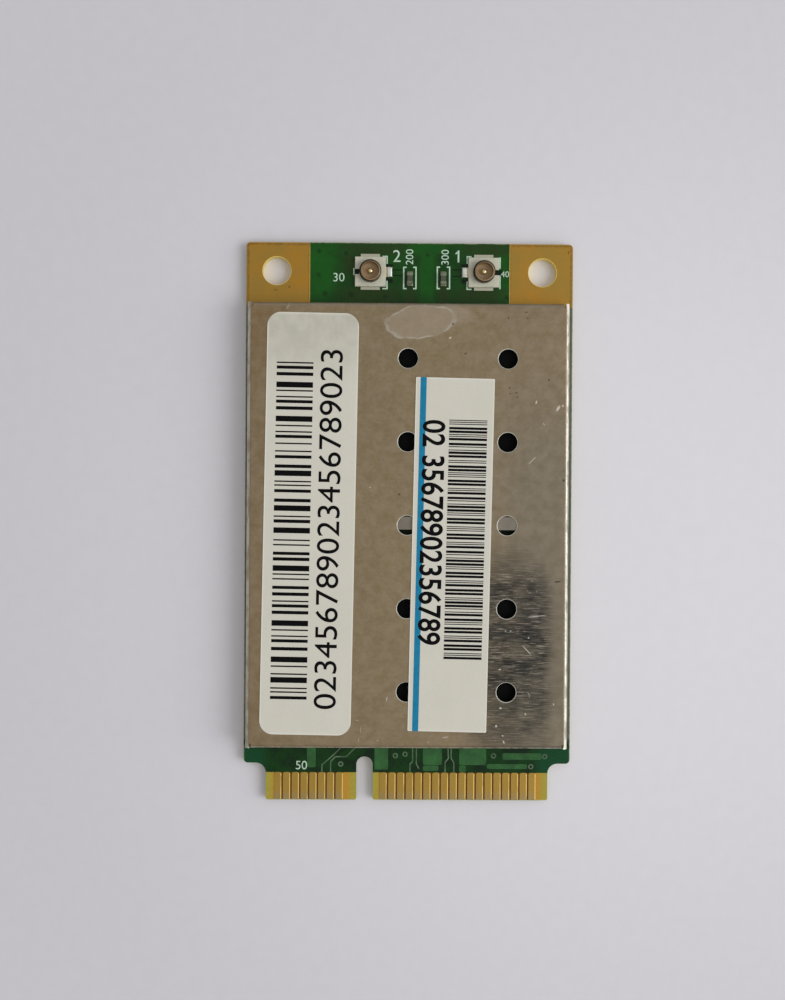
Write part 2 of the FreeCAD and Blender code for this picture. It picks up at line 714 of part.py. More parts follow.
def contact_side(x, from_end):
    """Place under the cover, measured from the frame's contact end."""
    return COVER_X + x, FRAME_Y0 + from_end


def card_nodes():
    """Board, plating, shield and labels."""
    upper, lower = face_levels()
    return {
        "circuit_board": circuit_board(),
        "edge_contacts_top": edge_contacts(CONTACT_FIRST, *upper),
        "edge_contacts_bottom": edge_contacts(CONTACT_FIRST + CONTACT_STAGGER, *lower),
        "mount_pad_left": mount_pad(-1),
        "mount_pad_right": mount_pad(1),
        "shield_frame": shield_frame(),
        "shield_cover": shield_cover(),
        "rounded_label": rounded_label(),
        "stripe_label": stripe_label(),
    }


def jack_nodes():
    """Two antenna jacks, their tails towards each other."""
    nodes = {}
    jack_y = BOARD_END - JACK_FROM_END
    for number, x, turn in ((1, JACK_1_X, 180), (2, JACK_2_X, 0)):
        for piece, shape in (("base", jack_base()), ("shell", jack_shell()), ("pin", jack_pin())):
            nodes[f"antenna_jack_{number}_{piece}"] = turned(shape, turn, x, jack_y, BOARD_TOP)
    return nodes


def pair_nodes():
    """Parts of two kinds of material: a body, and the metal pieces that carry it."""
    filter_size = (FILTER_LENGTH, FILTER_WIDTH, FILTER_HEIGHT, FILTER_END)
    inductor_size = (INDUCTOR_LENGTH, INDUCTOR_WIDTH, INDUCTOR_HEIGHT, INDUCTOR_END)
    amplifier_size = (AMPLIFIER_SIDE, AMPLIFIER_HEIGHT, AMPLIFIER_PADS)
    port_y = BOARD_END - PORT_CAPACITOR_FROM_END
    pairs = [
        ("port_capacitor_1", "body", "ends", small_chip(), 90, (PORT_CAPACITOR_1_X, port_y)),
        ("port_capacitor_2", "body", "ends", small_chip(), 90, (PORT_CAPACITOR_2_X, port_y)),
        ("amplifier_1", "body", "pads", pad_chip(*amplifier_size), 0,
         jack_side(AMPLIFIER_1_X, AMPLIFIER_FROM_END)),
        ("amplifier_2", "body", "pads", pad_chip(*amplifier_size), 0,
         jack_side(AMPLIFIER_2_X, AMPLIFIER_FROM_END)),
        ("band_filter_1", "body", "ends", plated_chip(*filter_size), 0,
         jack_side(FILTER_1_X, FILTER_FROM_END)),
        ("band_filter_2", "body", "ends", plated_chip(*filter_size), 0,
         jack_side(FILTER_2_X, FILTER_FROM_END)),
        ("radio_chip", "body", "pads", pad_chip(RADIO_SIDE, RADIO_HEIGHT, RADIO_PADS), 0,
         jack_side(RADIO_X, RADIO_FROM_END)),
        ("antenna_switch", "body", "pads", pad_chip(SWITCH_SIDE, SWITCH_HEIGHT, SWITCH_PADS), 0,
         jack_side(SWITCH_X, SWITCH_FROM_END)),
        ("crystal", "base", "lid", crystal(), 0, jack_side(CRYSTAL_X, CRYSTAL_FROM_END)),
        ("baseband_chip", "body", "pads", pad_chip(BASEBAND_SIDE, BASEBAND_HEIGHT, BASEBAND_PADS), 0,
         contact_side(BASEBAND_X, BASEBAND_FROM_END)),
        ("memory_chip", "body", "leads", memory_chip(), 0, contact_side(MEMORY_X, MEMORY_FROM_END)),
        ("regulator", "body", "pads", pad_chip(REGULATOR_SIDE, REGULATOR_HEIGHT, REGULATOR_PADS), 0,
         contact_side(REGULATOR_X, REGULATOR_FROM_END)),
        ("power_inductor", "core", "ends", plated_chip(*inductor_size), 0,
         contact_side(INDUCTOR_X, INDUCTOR_FROM_END)),
    ]
    nodes = {}
    for name, first, second, pieces, turn, place in pairs:
        nodes[f"{name}_{first}"], nodes[f"{name}_{second}"] = on_board(pieces, turn, place)
    for name, x in (("chip_capacitor", CAPACITOR_ROW_X), ("chip_resistor", RESISTOR_ROW_X)):
        nodes[f"{name}_bodies"], nodes[f"{name}_ends"] = chip_row(x)
    return nodes


def main():
    os.makedirs("parts", exist_ok=True)
    for maker in (card_nodes, jack_nodes, pair_nodes):
        for node, shape in maker().items():
            shape.exportStep(f"parts/{node}.step")


main()
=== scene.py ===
"""Finishes, print, solder and stage for a wireless mini card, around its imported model."""

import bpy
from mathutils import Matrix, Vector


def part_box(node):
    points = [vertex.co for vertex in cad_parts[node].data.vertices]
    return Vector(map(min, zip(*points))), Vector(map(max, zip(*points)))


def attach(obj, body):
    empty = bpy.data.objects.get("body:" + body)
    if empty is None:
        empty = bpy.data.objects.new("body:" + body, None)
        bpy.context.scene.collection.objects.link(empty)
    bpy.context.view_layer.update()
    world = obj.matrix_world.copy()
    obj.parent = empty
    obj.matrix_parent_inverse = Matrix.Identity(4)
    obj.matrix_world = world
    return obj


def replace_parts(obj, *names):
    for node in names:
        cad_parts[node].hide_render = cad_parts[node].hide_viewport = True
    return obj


bl_info = {
    "name": "Wireless mini card",
    "version": (1, 0, 0),
    "blender": (4, 5, 0),
    "location": "3D View > Sidebar > Mini card",
    "description": "Dresses the packed wireless card with finishes, print and solder, and sets its stage",
    "category": "Object",
}

import bmesh
import bpy
import math
from bpy.props import FloatProperty, FloatVectorProperty, IntProperty, PointerProperty, StringProperty
from mathutils import Matrix, Vector

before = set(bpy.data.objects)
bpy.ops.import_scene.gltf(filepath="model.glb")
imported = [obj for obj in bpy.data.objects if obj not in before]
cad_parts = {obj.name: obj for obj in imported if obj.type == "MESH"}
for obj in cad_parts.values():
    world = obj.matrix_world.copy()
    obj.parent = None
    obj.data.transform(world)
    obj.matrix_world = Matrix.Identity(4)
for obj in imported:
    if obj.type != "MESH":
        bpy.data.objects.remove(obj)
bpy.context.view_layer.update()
MM = 0.001


def mm(*values):
    """Millimetres as metres."""
    return tuple(value * MM for value in values)


def shade(red, green, blue):
    """Linear colour of a screen colour given in steps from 0 to 255."""
    parts = [step / 255 for step in (red, green, blue)]
    return tuple(p / 12.92 if p < 0.04 else ((p + 0.055) / 1.055) ** 2.4 for p in parts)


def dimmed(colour_value, share):
    """Colour with a share of its light, or with more light where the share is above 1."""
    return tuple(part * share for part in colour_value)


def colour(name, description, *steps):
    """Colour that a user can change, its default given in steps from 0 to 255."""
    return FloatVectorProperty(
        name=name, description=description, subtype="COLOR", size=3, min=0.0, max=1.0, default=shade(*steps)
    )


def length(name, description, millimetres):
    """Length that a user can change."""
    return FloatProperty(
        name=name, description=description, subtype="DISTANCE", unit="LENGTH", precision=6,
        default=millimetres * MM,
    )


def turn(name, description, degrees):
    """Angle that a user can change."""
    return FloatProperty(
        name=name, description=description, subtype="ANGLE", unit="ROTATION", default=math.radians(degrees)
    )


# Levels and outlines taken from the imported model
BOARD_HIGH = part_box("circuit_board")[1]
BOARD_TOP = BOARD_HIGH.z
BOARD_MIDDLE = BOARD_TOP / MM / 2
COVER_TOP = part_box("shield_cover")[1].z / MM

# Board, in mm: contacts, tongue, key slot, screw holes and ground pads
CONTACT_PITCH = 0.8
CONTACT_GROUPS = ((-8.95, -24.13, 3.125, 1.33), (4.65, -24.13, 7.125, 1.33))
TONGUE_HALF_WIDTH = 12.85
KEY_CENTRE = -3.85
KEY_HALF_WIDTH = 0.75
HOLE_CENTRES = ((-12.1, 22.8), (12.1, 22.8))
BARREL_REACH = 1.315
PAD_EDGE = 0.12
UNDERSIDE_VIA_PITCH = 2.4

# Levels at which the board's looks part, in mm from its underside or, for the depths, from its middle
UPPER_HALF = (BOARD_MIDDLE - 0.1, BOARD_MIDDLE + 0.1)
WINDOW_DEPTH = (BOARD_MIDDLE - 0.09, BOARD_MIDDLE - 0.07)
FACE_DEPTH = (BOARD_MIDDLE - 0.03, BOARD_MIDDLE - 0.02)

# Shares of a pitch: side of a contact with a painted highlight, and the underside's lines and covered vias
HIGHLIT_SIDE = (0.7, 0.74)
UNDERSIDE_LINE_MIDDLE = 0.4
UNDERSIDE_LINE_EDGE = (0.12, 0.05)
UNDERSIDE_VIA = (0.5, 0.5, 0.11, 0.11)

# Soft steps on the board, in mm: where each starts and where it is complete
# Painted shadow: a band of darker lacquer just below the cover's edge
CONTACT_END = (-19.5, -20.3)
COVER_SHADOW_BAND = (-20.75, -20.45)
# The shoulders' lighter lacquer is a painted reflection
LEFT_SHOULDER_SHEEN = (-12.4, -13.6)
RIGHT_SHOULDER_SHEEN = (11.2, 12.6)
SIDE_MARGIN = (14.2, 14.45)
SIDE_MARGIN_ENDS = (20.2, 19.6)
TONGUE_START = (-22.0, -22.1)
THIN_LAMINATE = (1.0, 0.2)
CHIPPED_EDGE = (0.1, 0.03)
CONTACT_TIP = (-24.3, -25.3)
UNDERSIDE_LINES_END = (-15.0, -15.2)

# Copper that shows through the lacquer beside the contacts, in mm: corners of the fields, and bent lines
COPPER_FIELDS = (
    ((-9.1, -22.4), (-8.3, -20.3)),
    ((-2.95, -22.6), (-1.7, -20.3)),
    ((1.47, -22.15), (3.2, -20.3)),
    ((1.47, -22.7), (2.9, -22.2)),
    ((4.78, -22.15), (7.25, -20.3)),
    ((4.78, -22.8), (5.4, -22.2)),
    ((8.75, -21.65), (12.3, -21.05)),
    ((7.3, -22.5), (11.0, -22.05)),
)
COPPER_LINES = (
    ((-7.73, -22.8), (-7.73, -22.18), (-6.7, -21.28), (-5.9, -20.48)),
    ((-6.94, -22.8), (-6.94, -21.88), (-6.51, -21.43), (-5.52, -21.42), (-4.5, -20.4)),
    ((0.3, -22.8), (0.3, -22.05), (0.53, -21.85), (0.53, -20.3)),
    ((1.1, -22.5), (0.87, -22.05), (0.87, -20.3)),
    ((3.5, -22.8), (3.5, -21.9), (3.8, -21.54), (3.74, -20.3)),
    ((4.3, -22.8), (4.3, -21.95), (4.05, -21.54), (4.05, -20.3)),
)
VIA_PLACES = (
    (-6.02, -22.1), (-1.05, -21.32), (-0.16, -21.18), (7.92, -21.3), (12.6, -21.35), (11.33, -22.28),
)

# White print on the lacquer, in mm: bent lines round the jacks and capacitors, and a tick at a number
SILK_LINES = (
    ((-2.5, 24.17), (-2.08, 24.17), (-2.08, 23.5)),
    ((-2.08, 21.95), (-2.08, 21.24), (-2.5, 21.24)),
    ((-5.1, 23.1), (-5.1, 22.45)),
    ((5.62, 24.2), (5.22, 24.2), (5.22, 23.55)),
    ((5.22, 21.95), (5.22, 21.24), (5.62, 21.24)),
    ((8.22, 24.17), (8.22, 23.15)),
    ((8.22, 22.5), (8.22, 21.27)),
    ((-0.3, 23.2), (-0.56, 23.2), (-0.56, 21.26), (-0.3, 21.26)),
    ((0.3, 23.2), (0.56, 23.2), (0.56, 21.26), (0.3, 21.26)),
    ((2.75, 23.24), (2.5, 23.24), (2.5, 21.28), (2.75, 21.28)),
    ((3.36, 23.24), (3.62, 23.24), (3.62, 21.28), (3.36, 21.28)),
    ((4.16, 24.44), (4.33, 24.62)),
)

# Plain numbers on the lacquer: digits, middle in mm, turn in degrees and the size that gives their height
BOARD_NUMBERS = (
    ("2", (-1.2, 24.22), 0, "port_number"),
    ("1", (4.42, 24.22), 0, "port_number"),
    ("30", (-6.46, 22.25), 0, "place_number"),
    ("50", (-9.6, -22.21), 0, "place_number"),
    ("200", (-0.04, 24.14), 90, "small_number"),
    ("300", (3.2, 24.14), 90, "small_number"),
    ("40", (8.67, 22.64), 0, "tight_number"),
)

# Lacquer that differs from the rest of the upper face, in mm: middle and half sizes
LIGHT_PATCHES = (
    (-8.3, 22.8, 1.5, 2.7), (1.55, 22.6, 0.65, 2.7), (8.7, 22.2, 0.8, 2.5), (1.5, 24.9, 1.7, 0.4),
)
BROWN_PATCHES = (
    (-3.2, 24.85, 2.6, 0.5), (-3.6, 20.6, 2.4, 0.7), (0.03, 20.5, 0.55, 1.0), (3.1, 20.5, 0.55, 1.0),
    (7.0, 24.85, 2.0, 0.5), (6.6, 20.6, 2.2, 0.7), (-5.5, 23.5, 0.5, 0.9),
)
DARK_VIAS = (
    (-8.27, 24.62, 0.2, 0.2), (-5.81, 24.43, 0.18, 0.2), (-8.3, 22.48, 0.2, 0.18),
    (-7.72, 20.76, 0.24, 0.24), (-5.37, 20.68, 0.24, 0.24), (-2.23, 20.5, 0.2, 0.2),
    (8.85, 20.5, 0.2, 0.2), (1.6, 24.3, 0.16, 0.16),
)
# Dark clearances at the tails and beside the lines; the last two marks are painted shade on the board at
# the jacks' notches
CLEARANCES_AND_NOTCH_SHADE = (
    (-1.85, 23.3, 0.3, 0.16), (-1.85, 21.95, 0.3, 0.2), (5.0, 23.35, 0.3, 0.16), (5.0, 21.95, 0.3, 0.2),
    (-1.1, 22.95, 0.5, 0.05), (-1.1, 22.45, 0.5, 0.05), (4.3, 23.0, 0.45, 0.05), (4.3, 22.4, 0.45, 0.05),
    (-4.75, 22.75, 0.35, 0.28), (8.05, 22.73, 0.35, 0.28),
)

# Marks of use on the shield cover and the pads, in mm: middle, half sizes and a turn in degrees
BRIGHT_NICKS = (
    (8.27, -13.18, 0.1, 0.06, 10), (8.35, -16.66, 0.1, 0.08, 0), (10.6, -17.19, 0.07, 0.09, 15),
    (7.98, -18.28, 0.08, 0.1, 0), (8.57, -19.15, 0.07, 0.06, 0), (8.66, -19.71, 0.06, 0.13, 20),
    (13.13, -16.29, 0.05, 0.08, 0), (13.37, 10.33, 0.1, 0.25, -30), (13.8, 10.56, 0.06, 0.1, 0),
    (11.4, 10.86, 0.06, 0.15, -15), (3.62, 16.61, 0.1, 0.08, 40), (8.76, -9.71, 0.07, 0.04, 0),
    (9.22, -9.71, 0.07, 0.04, 0), (10.84, -10.33, 0.06, 0.06, 0), (-3.5, 3.12, 0.06, 0.05, 0),
    (-1.88, -15.88, 0.03, 0.18, -10), (-2.69, -19.63, 0.07, 0.03, 20), (1.86, -19.77, 0.04, 0.04, 0),
)
SCRATCHES = (
    (10.7, -11.44, 0.47, 0.035, -46.7), (11.06, 5.63, 0.38, 0.03, 44.5), (11.62, -8.37, 0.69, 0.03, 5.8),
    (3.4, -19.3, 0.22, 0.03, 8), (-10.9, 19.41, 0.3, 0.02, 59), (12.1, 8.9, 0.12, 0.025, -55),
    (-4.22, -18.67, 0.25, 0.013, 88), (-4.38, -19.59, 0.2, 0.013, 75), (-4.53, -17.82, 0.12, 0.015, -8),
)
DARK_SPECKS = (
    (10.46, 18.95, 0.1, 0.05, 0), (8.85, 18.43, 0.05, 0.12, 0), (10.55, 18.44, 0.09, 0.05, 0),
    (8.99, 12.15, 0.08, 0.07, 0), (9.05, 11.61, 0.06, 0.06, 0), (9.6, 11.72, 0.09, 0.06, 0),
    (9.71, 11.33, 0.06, 0.07, 0), (12.52, 12.89, 0.08, 0.09, 0), (13.9, 3.85, 0.1, 0.12, 0),
    (13.42, -5.26, 0.3, 0.07, 5), (3.86, 17.86, 0.08, 0.1, -40), (5.0, 15.21, 0.12, 0.06, 30),
    (-0.87, 2.53, 0.09, 0.08, 0), (0.36, 4.67, 0.05, 0.09, 0), (-2.32, 5.61, 0.04, 0.05, 0),
)
WATER_RINGS = ((11.13, -5.77, 0.6, 0.6, 0), (10.57, -15.61, 0.42, 0.5, 0))
DRIED_INSIDES = ((11.13, -5.77, 0.51, 0.51, 0), (10.57, -15.61, 0.34, 0.42, 0))
PAD_SPECKS = ((-10.96, 21.34, 0.1, 0.08), (-12.21, 21.06, 0.13, 0.06), (14.46, 24.66, 0.06, 0.16))
# Painted reflection on the cover, in mm: middle and half sizes of a dark zone low on its right side, and of
# its lower part
DARK_REFLECTION = (9.2, -10.3, 4.6, 6.8)
LOWER_DARK_REFLECTION = (9.4, -15.5, 4.8, 5.0)
SMEAR = (0.95, 18.0, 3.2, 1.46, 5)
SMEAR_INSIDE = (0.97, 18.0, 3.07, 1.37, 5)
SMEAR_VEIL = (3.6, 18.7, 2.0, 0.8, -6)

# Soft steps on the shield cover, in mm: where each starts and where it is complete
# The grey, warm and dark zones below are painted reflections on the cover
GREY_REFLECTION_SIDE = (4.0, 12.0)
GREY_REFLECTION_END = (16.0, 4.0)
WARM_REFLECTION_SIDE = (-9.0, -13.0)
WARM_REFLECTION_END = (10.0, 19.0)
DARK_REFLECTION_SIDE = (13.4, 12.0)
# Painted highlights on the cover's bends and round its vents' rims
RIGHT_BEND_HIGHLIGHT = (14.1, 14.2)
LEFT_BEND_HIGHLIGHT = (-14.25, -14.4)
CONTACT_BEND_HIGHLIGHT = (-20.18, -20.28)
JACK_BEND_HIGHLIGHT = (19.35, 19.5)
VENT_RIM_HIGHLIGHT = (COVER_TOP - 0.004, COVER_TOP - 0.03)
VENTS_SIDE = (13.9, 13.7)
VENTS_END = (19.3, 19.1)

# Labels, in mm: the paler edge's width, the soil's soft step on the card, and the print round the middle
LABEL_RIM = 0.09
SOILED_END = (11.5, 17.5)
ROUNDED_LABEL_BARS = {
    "low": (-3.19, -16.15), "high": (0.09, 14.49),
    "widths": (0.13, 0.3, 0.13, 0.28, 0.5), "gaps": (0.22, 0.3, 0.42, 0.56),
}
ROUNDED_LABEL_DIGITS = {
    "middle": (1.73, -0.48), "degrees": 90, "height": 2.0, "run": 32.24, "weight": 0.0,
}
STRIPE = ((-3.13, -15.9), (-2.58, 15.9))
STRIPE_LABEL_BARS = {
    "low": (-0.46, -9.6), "high": (2.96, 12.15),
    "widths": (0.08, 0.22, 0.08, 0.22), "gaps": (0.09, 0.1, 0.22),
}
STRIPE_LABEL_DIGITS = {
    "middle": (-1.82, 1.98), "degrees": -90, "height": 2.08, "run": 20.2, "weight": 0.018,
}

# Steps by which the choice of a bar's width and of the gap below it drifts
WIDTH_DRIFT = 0.618
GAP_DRIFT = 0.4142

# Jacks and solder, in mm: reach inside the rings, levels of their feet over the board, and the solder
# Outside this reach, shifted a little, the ring is painted dark as shade
RING_OPENING = 0.88
RING_SHADE_SHIFT = (0.04, -0.05)
JACK_SHADED_FLOOR = 0.85
FEET_STEP = (0.2, 0.13)
TAIL_SOLDER = {"size": (0.52, 0.98, 0.32), "rounding": 0.15, "lift": 0.1}
TAIL_REACH = 0.34
END_SOLDER = {"size": (0.6, 0.5, 0.3), "rounding": 0.12, "lift": 0.06}

# Plain cloudy finishes: colour, light share of its clouds, metallic, roughness, scale and gloss
CLOUDY_FINISHES = {
    "lacquered field": ("lacquer_copper", 0.55, 0.0, 0.32, 0.9, 0.2),
    "lacquered line": ("lacquer_line", 0.4, 0.0, 0.32, 1.4, 0.2),
    "board print": ("silk", 0.75, 0.0, 0.6, 2.0, 0.3),
    "frame sheet": ("frame_sheet", 0.8, 0.75, 0.4, 0.8, 0.5),
    "rounded label ink": ("ink", 2.0, 0.0, 0.55, 3.0, 0.06),
    "stripe label ink": ("ink", 2.0, 0.0, 0.55, 3.0, 0.06),
    "stripe ink": ("stripe", 0.8, 0.0, 0.55, 2.0, 0.2),
    "jack pin": ("pin", 0.75, 0.9, 0.25, 4.0, 0.5),
    "jack solder": ("solder", 0.7, 0.9, 0.24, 3.0, 0.5),
    "brown ceramic": ("capacitor", 0.7, 0.0, 0.45, 3.0, 0.5),
    "pale ceramic": ("ceramic", 0.85, 0.0, 0.6, 2.0, 0.5),
    "dark ceramic": ("ferrite", 1.8, 0.0, 0.4, 2.5, 0.3),
    "moulding compound": ("moulding", 1.6, 0.0, 0.5, 2.0, 0.05),
    "tin": ("tin", 0.45, 0.85, 0.32, 3.0, 0.5),
}

# Stage: places and sizes in metres, turns in radians, the lens in mm. Each lamp has a name, a place, two
# sides and a power in watts, and stands to the card's right.
CAMERA_PLACE = mm(-3.1145, 2.5949, 131.0)
CAMERA_TURN = (-0.00459, -0.01279, 0.00629)
CAMERA_LENS = 51.356
CAMERA_NEAR = 0.005
FLOOR_HALF_SIZE = 1.5
FLOOR_DROP = 2e-5
LAMPS = (
    ("key light", (0.33, -0.06, 0.38), (0.3, 0.3), 1.05),
    ("side light", (0.35, -0.02, 0.14), (0.25, 0.14), 0.2),
)
SKY_COLOUR = (1.0, 0.99, 0.98, 1.0)
SKY_SLOPE = (0.2, -0.05, 0.42)
SKY_LEVEL = 0.4

# Floor's brightest place and the distances over which it darkens, in mm
FLOOR_BRIGHTEST = (18.0, -2.0, 0.0)
FLOOR_DIMMING = (8.0, 60.0)


class CardColours(bpy.types.PropertyGroup):
    """Colours of the card's finishes"""

    lacquer: colour("Lacquer", "Green solder mask over the board", 19, 66, 15)
    lacquer_light: colour("Light lacquer", "Lacquer over wide copper", 16, 76, 16)
    lacquer_brown: colour("Brown lacquer", "Lacquer over bare laminate", 38, 50, 18)
    lacquer_dark: colour("Dark lacquer", "Lacquer beside the contacts", 6, 32, 11)
    # Painted reflection: lighter lacquer on the shoulders beside the tongue
    lacquer_sheen: colour("Bright lacquer", "Lacquer on the shoulders", 8, 62, 32)
    lacquer_copper: colour("Lacquered copper", "Lacquer over copper fields", 46, 96, 48)
    lacquer_line: colour("Lacquered lines", "Lacquer over thin lines and vias", 96, 122, 92)
    laminate: colour("Laminate", "Bare laminate round the pads", 158, 122, 55)
    laminate_tongue: colour("Tongue", "Bare laminate of the tongue", 176, 132, 46)
    laminate_thin: colour("Tongue edge", "Laminate close to a cut edge", 157, 147, 58)
    # Laminate between the contacts, darker by its own colour and by painted shade between the raised
    # contacts
    laminate_gap_shade: colour("Laminate in gaps", "Laminate between the contacts", 74, 42, 10)
    cut_edge: colour("Cut edge", "Cut edge of the laminate", 186, 192, 152)
    gold: colour("Contact gold", "Gold plating of the contacts", 160, 129, 58)
    gold_orange: colour("Orange gold", "Gold of the ground pads", 163, 119, 38)
    gold_olive: colour("Olive gold", "Duller gold of the ground pads", 145, 118, 50)
    # Painted highlight on the contacts' sides and on the pads' inner sides
    gold_highlight: colour("Bright gold", "Gold where it is polished", 235, 195, 110)
    # Also the painted warm reflection on the cover's upper left
    gold_tarnish_and_warm_reflection: colour("Dull gold", "Gold where it is tarnished", 112, 80, 28)
    gold_barrel: colour("Hole plating", "Plating inside the screw holes", 248, 224, 116)
    lid: colour("Cover", "Dull tinned sheet of the cover", 131, 114, 86)
    # Next four: painted reflections on the cover, grey on the right and a dark zone with dark and pale
    # streaks; the streak colour also paints real specks, the film colour the dried smear
    lid_grey_reflection: colour("Grey cover", "Greyer sheet along the right side", 106, 100, 87)
    lid_dark_reflection: colour("Cover tarnish", "Tarnished part of the cover", 50, 50, 46)
    lid_specks_and_reflected_streaks: colour("Cover streaks", "Dark streaks in the tarnish", 22, 20, 19)
    lid_film_and_pale_reflection: colour("Dried smear", "Film left by a dried drop", 168, 156, 140)
    # Bare metal at nicks, scratches and dried rings, and painted highlights on the bends and vent rims
    lid_bare_and_highlight: colour("Bare metal", "Scraped metal and bends", 230, 228, 215)
    # Tinned frame sheet, darkened partly as painted shade under the cover
    frame_sheet: colour("Frame", "Tinned sheet of the shield frame", 124, 117, 106)
    paper: colour("Label paper", "Label stock", 200, 197, 186)
    paper_grey: colour("Grey paper", "Soiled label stock", 164, 163, 148)
    paper_rim: colour("Label edge", "Cut edge of the label stock", 218, 215, 205)
    ink: colour("Ink", "Printed black", 4, 4, 5)
    stripe: colour("Stripe", "Printed stripe", 8, 120, 158)
    silk: colour("Board print", "White print on the lacquer", 186, 212, 190)
    ivory: colour("Jack base", "Moulding of the jacks", 192, 191, 172)
    ivory_shaded_floor: colour("Jack floor", "Moulding inside the ring", 170, 146, 112)
    # Painted shade: the moulding inside the ring, the base's own ivory darkened and browned
    ring: colour("Jack ring", "Plated ring of the jacks", 160, 138, 106)
    ring_feet: colour("Jack feet", "Soldered feet of the rings", 168, 166, 148)
    pin: colour("Jack pin", "Plated centre pin", 222, 200, 150)
    solder: colour("Solder", "Bright solder", 208, 211, 205)
    tin: colour("Tin", "Solder plating of ends and leads", 132, 135, 114)
    capacitor: colour("Capacitor", "Brown ceramic", 68, 68, 51)
    ceramic: colour("Pale ceramic", "Filters and crystal tray", 196, 190, 176)
    ferrite: colour("Dark ceramic", "Resistors and inductor core", 28, 28, 31)
    moulding: colour("Chip", "Black moulding compound", 4, 4, 4)
    floor: colour("Floor", "Plain sheet under the card", 211, 209, 215)


class CardSizes(bpy.types.PropertyGroup):
    """Sizes and words of what is printed and soldered"""

    copper_rise: length("Copper rise", "How far lacquered copper stands up", 0.012)
    copper_corner: length("Copper corner", "Radius of a copper field's corners", 0.16)
    copper_line: length("Copper line", "Width of a lacquered line", 0.1)
    via_radius: length("Via radius", "Outer radius of a lacquered via ring", 0.24)
    via_hole: length("Via hole", "Radius of the hole in a via ring", 0.13)
    silk_rise: length("Board print rise", "Thickness of the white print", 0.014)
    silk_line: length("Board print line", "Width of the white lines", 0.12)
    port_number: length("Port number", "Height of the numbers beside the jacks", 1.08)
    place_number: length("Place number", "Height of the numbers beside the jack and the contacts", 0.78)
    small_number: length("Small number", "Height of the numbers at the capacitors", 0.68)
    tight_number: length("Tight number", "Height of the number between jack and pad", 0.54)
    label_sheet: length("Label sheet", "Thickness of the label stock", 0.072)
    stripe_rise: length("Stripe rise", "Thickness of the coloured ink", 0.002)
    ink_rise: length("Ink rise", "Thickness of the black ink", 0.005)
    rounded_label_width: length("Rounded label width", "Width of the label with rounded corners", 8.2)
    rounded_label_length: length("Rounded label length", "Length of the label with rounded corners", 37.9)
    rounded_label_corner: length("Rounded label corner", "Radius of its corners", 1.2)
    rounded_label_turn: turn("Rounded label turn", "Clockwise turn of the label", 0.84)
    stripe_label_width: length("Stripe label width", "Width of the label with the stripe", 7.08)
    stripe_label_length: length("Stripe label length", "Length of the label with the stripe", 31.8)
    stripe_label_corner: length("Stripe label corner", "Radius of its corners", 0.1)
    stripe_label_turn: turn("Stripe label turn", "Clockwise turn of the label", 1.05)
    corner_steps: IntProperty(
        name="Corner steps", description="Facets in a label's corner", default=8, min=1
    )
    rounded_label_digits: StringProperty(
        name="Rounded label digits", description="Plain run of digits", default="023456789023456789023"
    )
    stripe_label_digits: StringProperty(
        name="Stripe label digits", description="Plain run of digits", default="02 35678902356789"
    )


class Tree:
    """Short calls that add nodes to one node tree and join them."""

    def __init__(self, node_tree):
        self.tree = node_tree

    def add(self, kind, inputs=None, **settings):
        node = self.tree.nodes.new(kind)
        for name, value in settings.items():
            setattr(node, name, value)
        for key, value in (inputs or {}).items():
            self.feed(node.inputs[key], value)
        return node

    def feed(self, socket, value):
        if isinstance(value, bpy.types.NodeSocket):
            self.tree.links.new(value, socket)
        else:
            socket.default_value = value

    def math(self, operation, first, second=0.0):
        return self.add("ShaderNodeMath", {0: first, 1: second}, operation=operation).outputs[0]

    def times(self, first, second):
        return self.math("MULTIPLY", first, second)

    def less(self, first, second):
        return self.math("SUBTRACT", first, second)

    def size(self, value):
        return self.math("ABSOLUTE", value)

    def largest(self, values):
        """Largest of several masks."""
        found = values[0]
        for value in values[1:]:
            found = self.math("MAXIMUM", found, value)
        return found

    def vector(self, operation, *parts, **scale):
        """Vector worked out from others, or scaled by a number."""
        inputs = {**dict(enumerate(parts)), **scale}
        return self.add("ShaderNodeVectorMath", inputs, operation=operation).outputs[0]

    def measure(self, operation, *parts):
        """Number worked out from one or two vectors."""
        inputs = dict(enumerate(parts))
        return self.add("ShaderNodeVectorMath", inputs, operation=operation).outputs["Value"]

    def split(self, vector):
        return self.add("ShaderNodeSeparateXYZ", {0: vector}).outputs

    def mix(self, amount, first, second, share=1.0):
        """First colour where the amount is 0, turned by a share into the second where it is 1."""
        pair = [c if isinstance(c, bpy.types.NodeSocket) else (*c, 1.0) for c in (first, second)]
        if share != 1.0:
            amount = self.times(amount, share)
        return self.add("ShaderNodeMix", {0: amount, 6: pair[0], 7: pair[1]}, data_type="RGBA").outputs[2]

    def ramp(self, value, start, end, low=0.0, high=1.0):
        """Smooth step of a value from low at start to high at end."""
        inputs = {0: value, 1: start, 2: end, 3: low, 4: high}
        return self.add("ShaderNodeMapRange", inputs, interpolation_type="SMOOTHSTEP").outputs[0]

    def group(self, name, inputs):
        return self.add("ShaderNodeGroup", inputs, node_tree=shared(name)).outputs[0]


